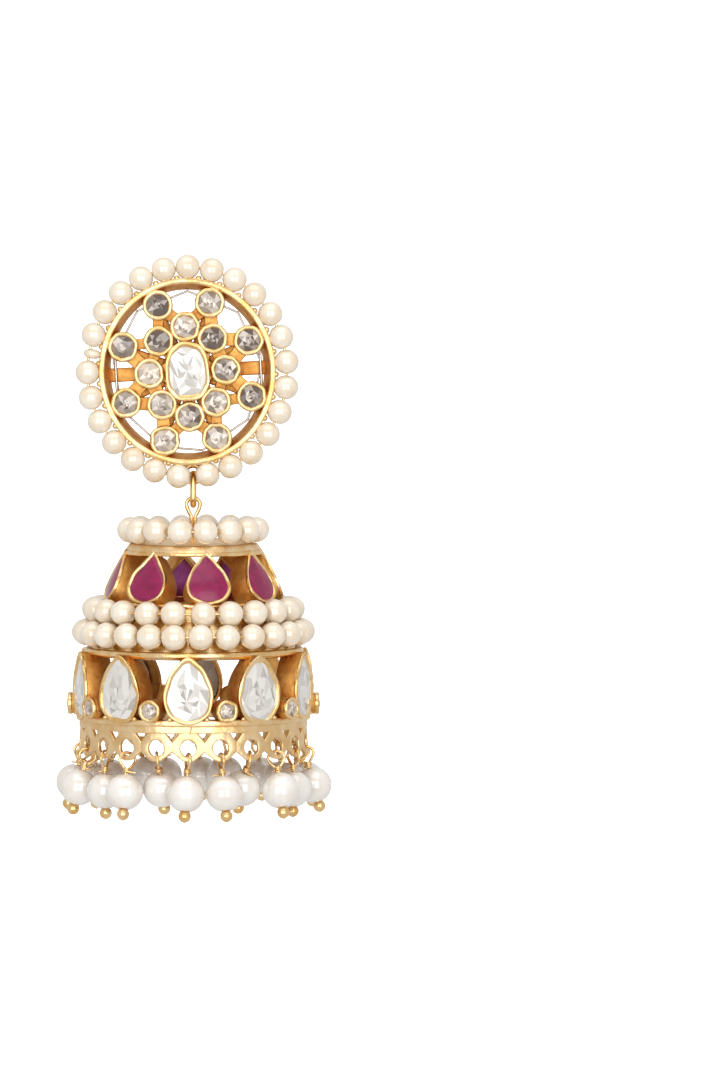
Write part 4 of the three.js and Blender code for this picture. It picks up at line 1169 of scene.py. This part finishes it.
def aim(thing, spot, target):
    """Puts a light or the camera at a spot, looking at a target."""
    thing.location = np.array(spot) * MM
    thing.rotation_mode = "QUATERNION"
    thing.rotation_quaternion = Vector(unit(target - np.array(spot)).tolist()).to_track_quat("-Z", "Y")
    bpy.context.scene.collection.objects.link(thing)


class JHUMKA_OT_stage(bpy.types.Operator):
    """Lays the pale ground, and sets the lights and the camera"""

    bl_idname = "jhumka.stage"
    bl_label = "Set the stage"

    def execute(self, context):
        """White paper that sweeps up all round, soft boxes in front and above, and a long lens."""
        self.ground()
        self.lights(context.scene)
        self.camera(context.scene)
        context.scene.view_settings.view_transform = "Standard"
        return {"FINISHED"}

    def ground(self):
        """A wide white bowl: level under the earring, then a quarter circle up to a wall."""
        quarter = np.linspace(0, np.pi / 2, 14)
        bend = FLOOR_REACH - FLOOR_BEND + FLOOR_BEND * np.sin(quarter)
        rise = FLOOR + FLOOR_BEND - FLOOR_BEND * np.cos(quarter)
        profile = [[0, FLOOR], [200, FLOOR], [500, FLOOR], *zip(bend, rise), [FLOOR_REACH, WALL_TOP]]
        paper = new_object("paper_ground", [turned(profile, 73, finish=PAPER)])
        paper.visible_diffuse = False
        paper.visible_glossy = False
        paper.visible_shadow = False

    def lights(self, scene):
        """Two tall soft boxes in front, left and right, one above, and a white surround."""
        for name, (spot, (width, height), power) in SOFT_BOXES.items():
            light = bpy.data.lights.new(name, "AREA")
            light.shape = "RECTANGLE"
            light.size, light.size_y = width * MM, height * MM
            light.energy = power
            lamp = bpy.data.objects.new(name, light)
            lamp.visible_camera = False
            aim(lamp, spot, LIGHT_TARGET)
        scene.world = bpy.data.worlds.new("white surround")
        scene.world.use_nodes = True
        background = scene.world.node_tree.nodes["Background"]
        background.inputs["Color"].default_value = (1, 1, 1, 1)
        background.inputs["Strength"].default_value = SURROUND

    def camera(self, scene):
        """A long lens level with the stud, looking a little down at the bell."""
        lens = bpy.data.cameras.new("camera")
        lens.sensor_width = FILM
        lens.lens = -CAMERA_SPOT[1] / MM_PER_PIXEL * FILM / PIXELS_HIGH
        scene.camera = bpy.data.objects.new("camera", lens)
        aim(scene.camera, CAMERA_SPOT, CAMERA_TARGET)


class JHUMKA_PT_panel(bpy.types.Panel):
    """Lists the earring's sizes, colours and steps"""

    bl_idname = "JHUMKA_PT_panel"
    bl_label = "Jhumka earring"
    bl_space_type = "VIEW_3D"
    bl_region_type = "UI"
    bl_category = "Jhumka"

    def draw(self, context):
        """Sizes, colours and one button a step."""
        for group in (context.scene.jhumka_sizes, context.scene.jhumka_colours):
            column = self.layout.column()
            for name in type(group).__annotations__:
                column.prop(group, name)
        for step in STEPS:
            self.layout.operator(step.bl_idname)


STEPS = (JHUMKA_OT_finishes, JHUMKA_OT_stud, JHUMKA_OT_stud_pearls, JHUMKA_OT_link, JHUMKA_OT_bell,
         JHUMKA_OT_pearl_rows, JHUMKA_OT_drops, JHUMKA_OT_stage)
CLASSES = (JhumkaSizes, JhumkaColours, *STEPS, JHUMKA_PT_panel)


def register():
    """Registers the classes and puts the sizes and colours on the scene."""
    for item in CLASSES:
        bpy.utils.register_class(item)
    bpy.types.Scene.jhumka_sizes = PointerProperty(type=JhumkaSizes)
    bpy.types.Scene.jhumka_colours = PointerProperty(type=JhumkaColours)


def unregister():
    """Takes the sizes, colours and classes away again."""
    del bpy.types.Scene.jhumka_colours
    del bpy.types.Scene.jhumka_sizes
    for item in reversed(CLASSES):
        bpy.utils.unregister_class(item)


def main():
    """Makes everything in order."""
    register()
    bpy.ops.jhumka.finishes()
    bpy.ops.jhumka.stage()
    bpy.ops.jhumka.stud()
    bpy.ops.jhumka.stud_pearls()
    bpy.ops.jhumka.link()
    bpy.ops.jhumka.bell()
    bpy.ops.jhumka.pearl_rows()
    bpy.ops.jhumka.drops()


if __name__ == "__main__":
    main()
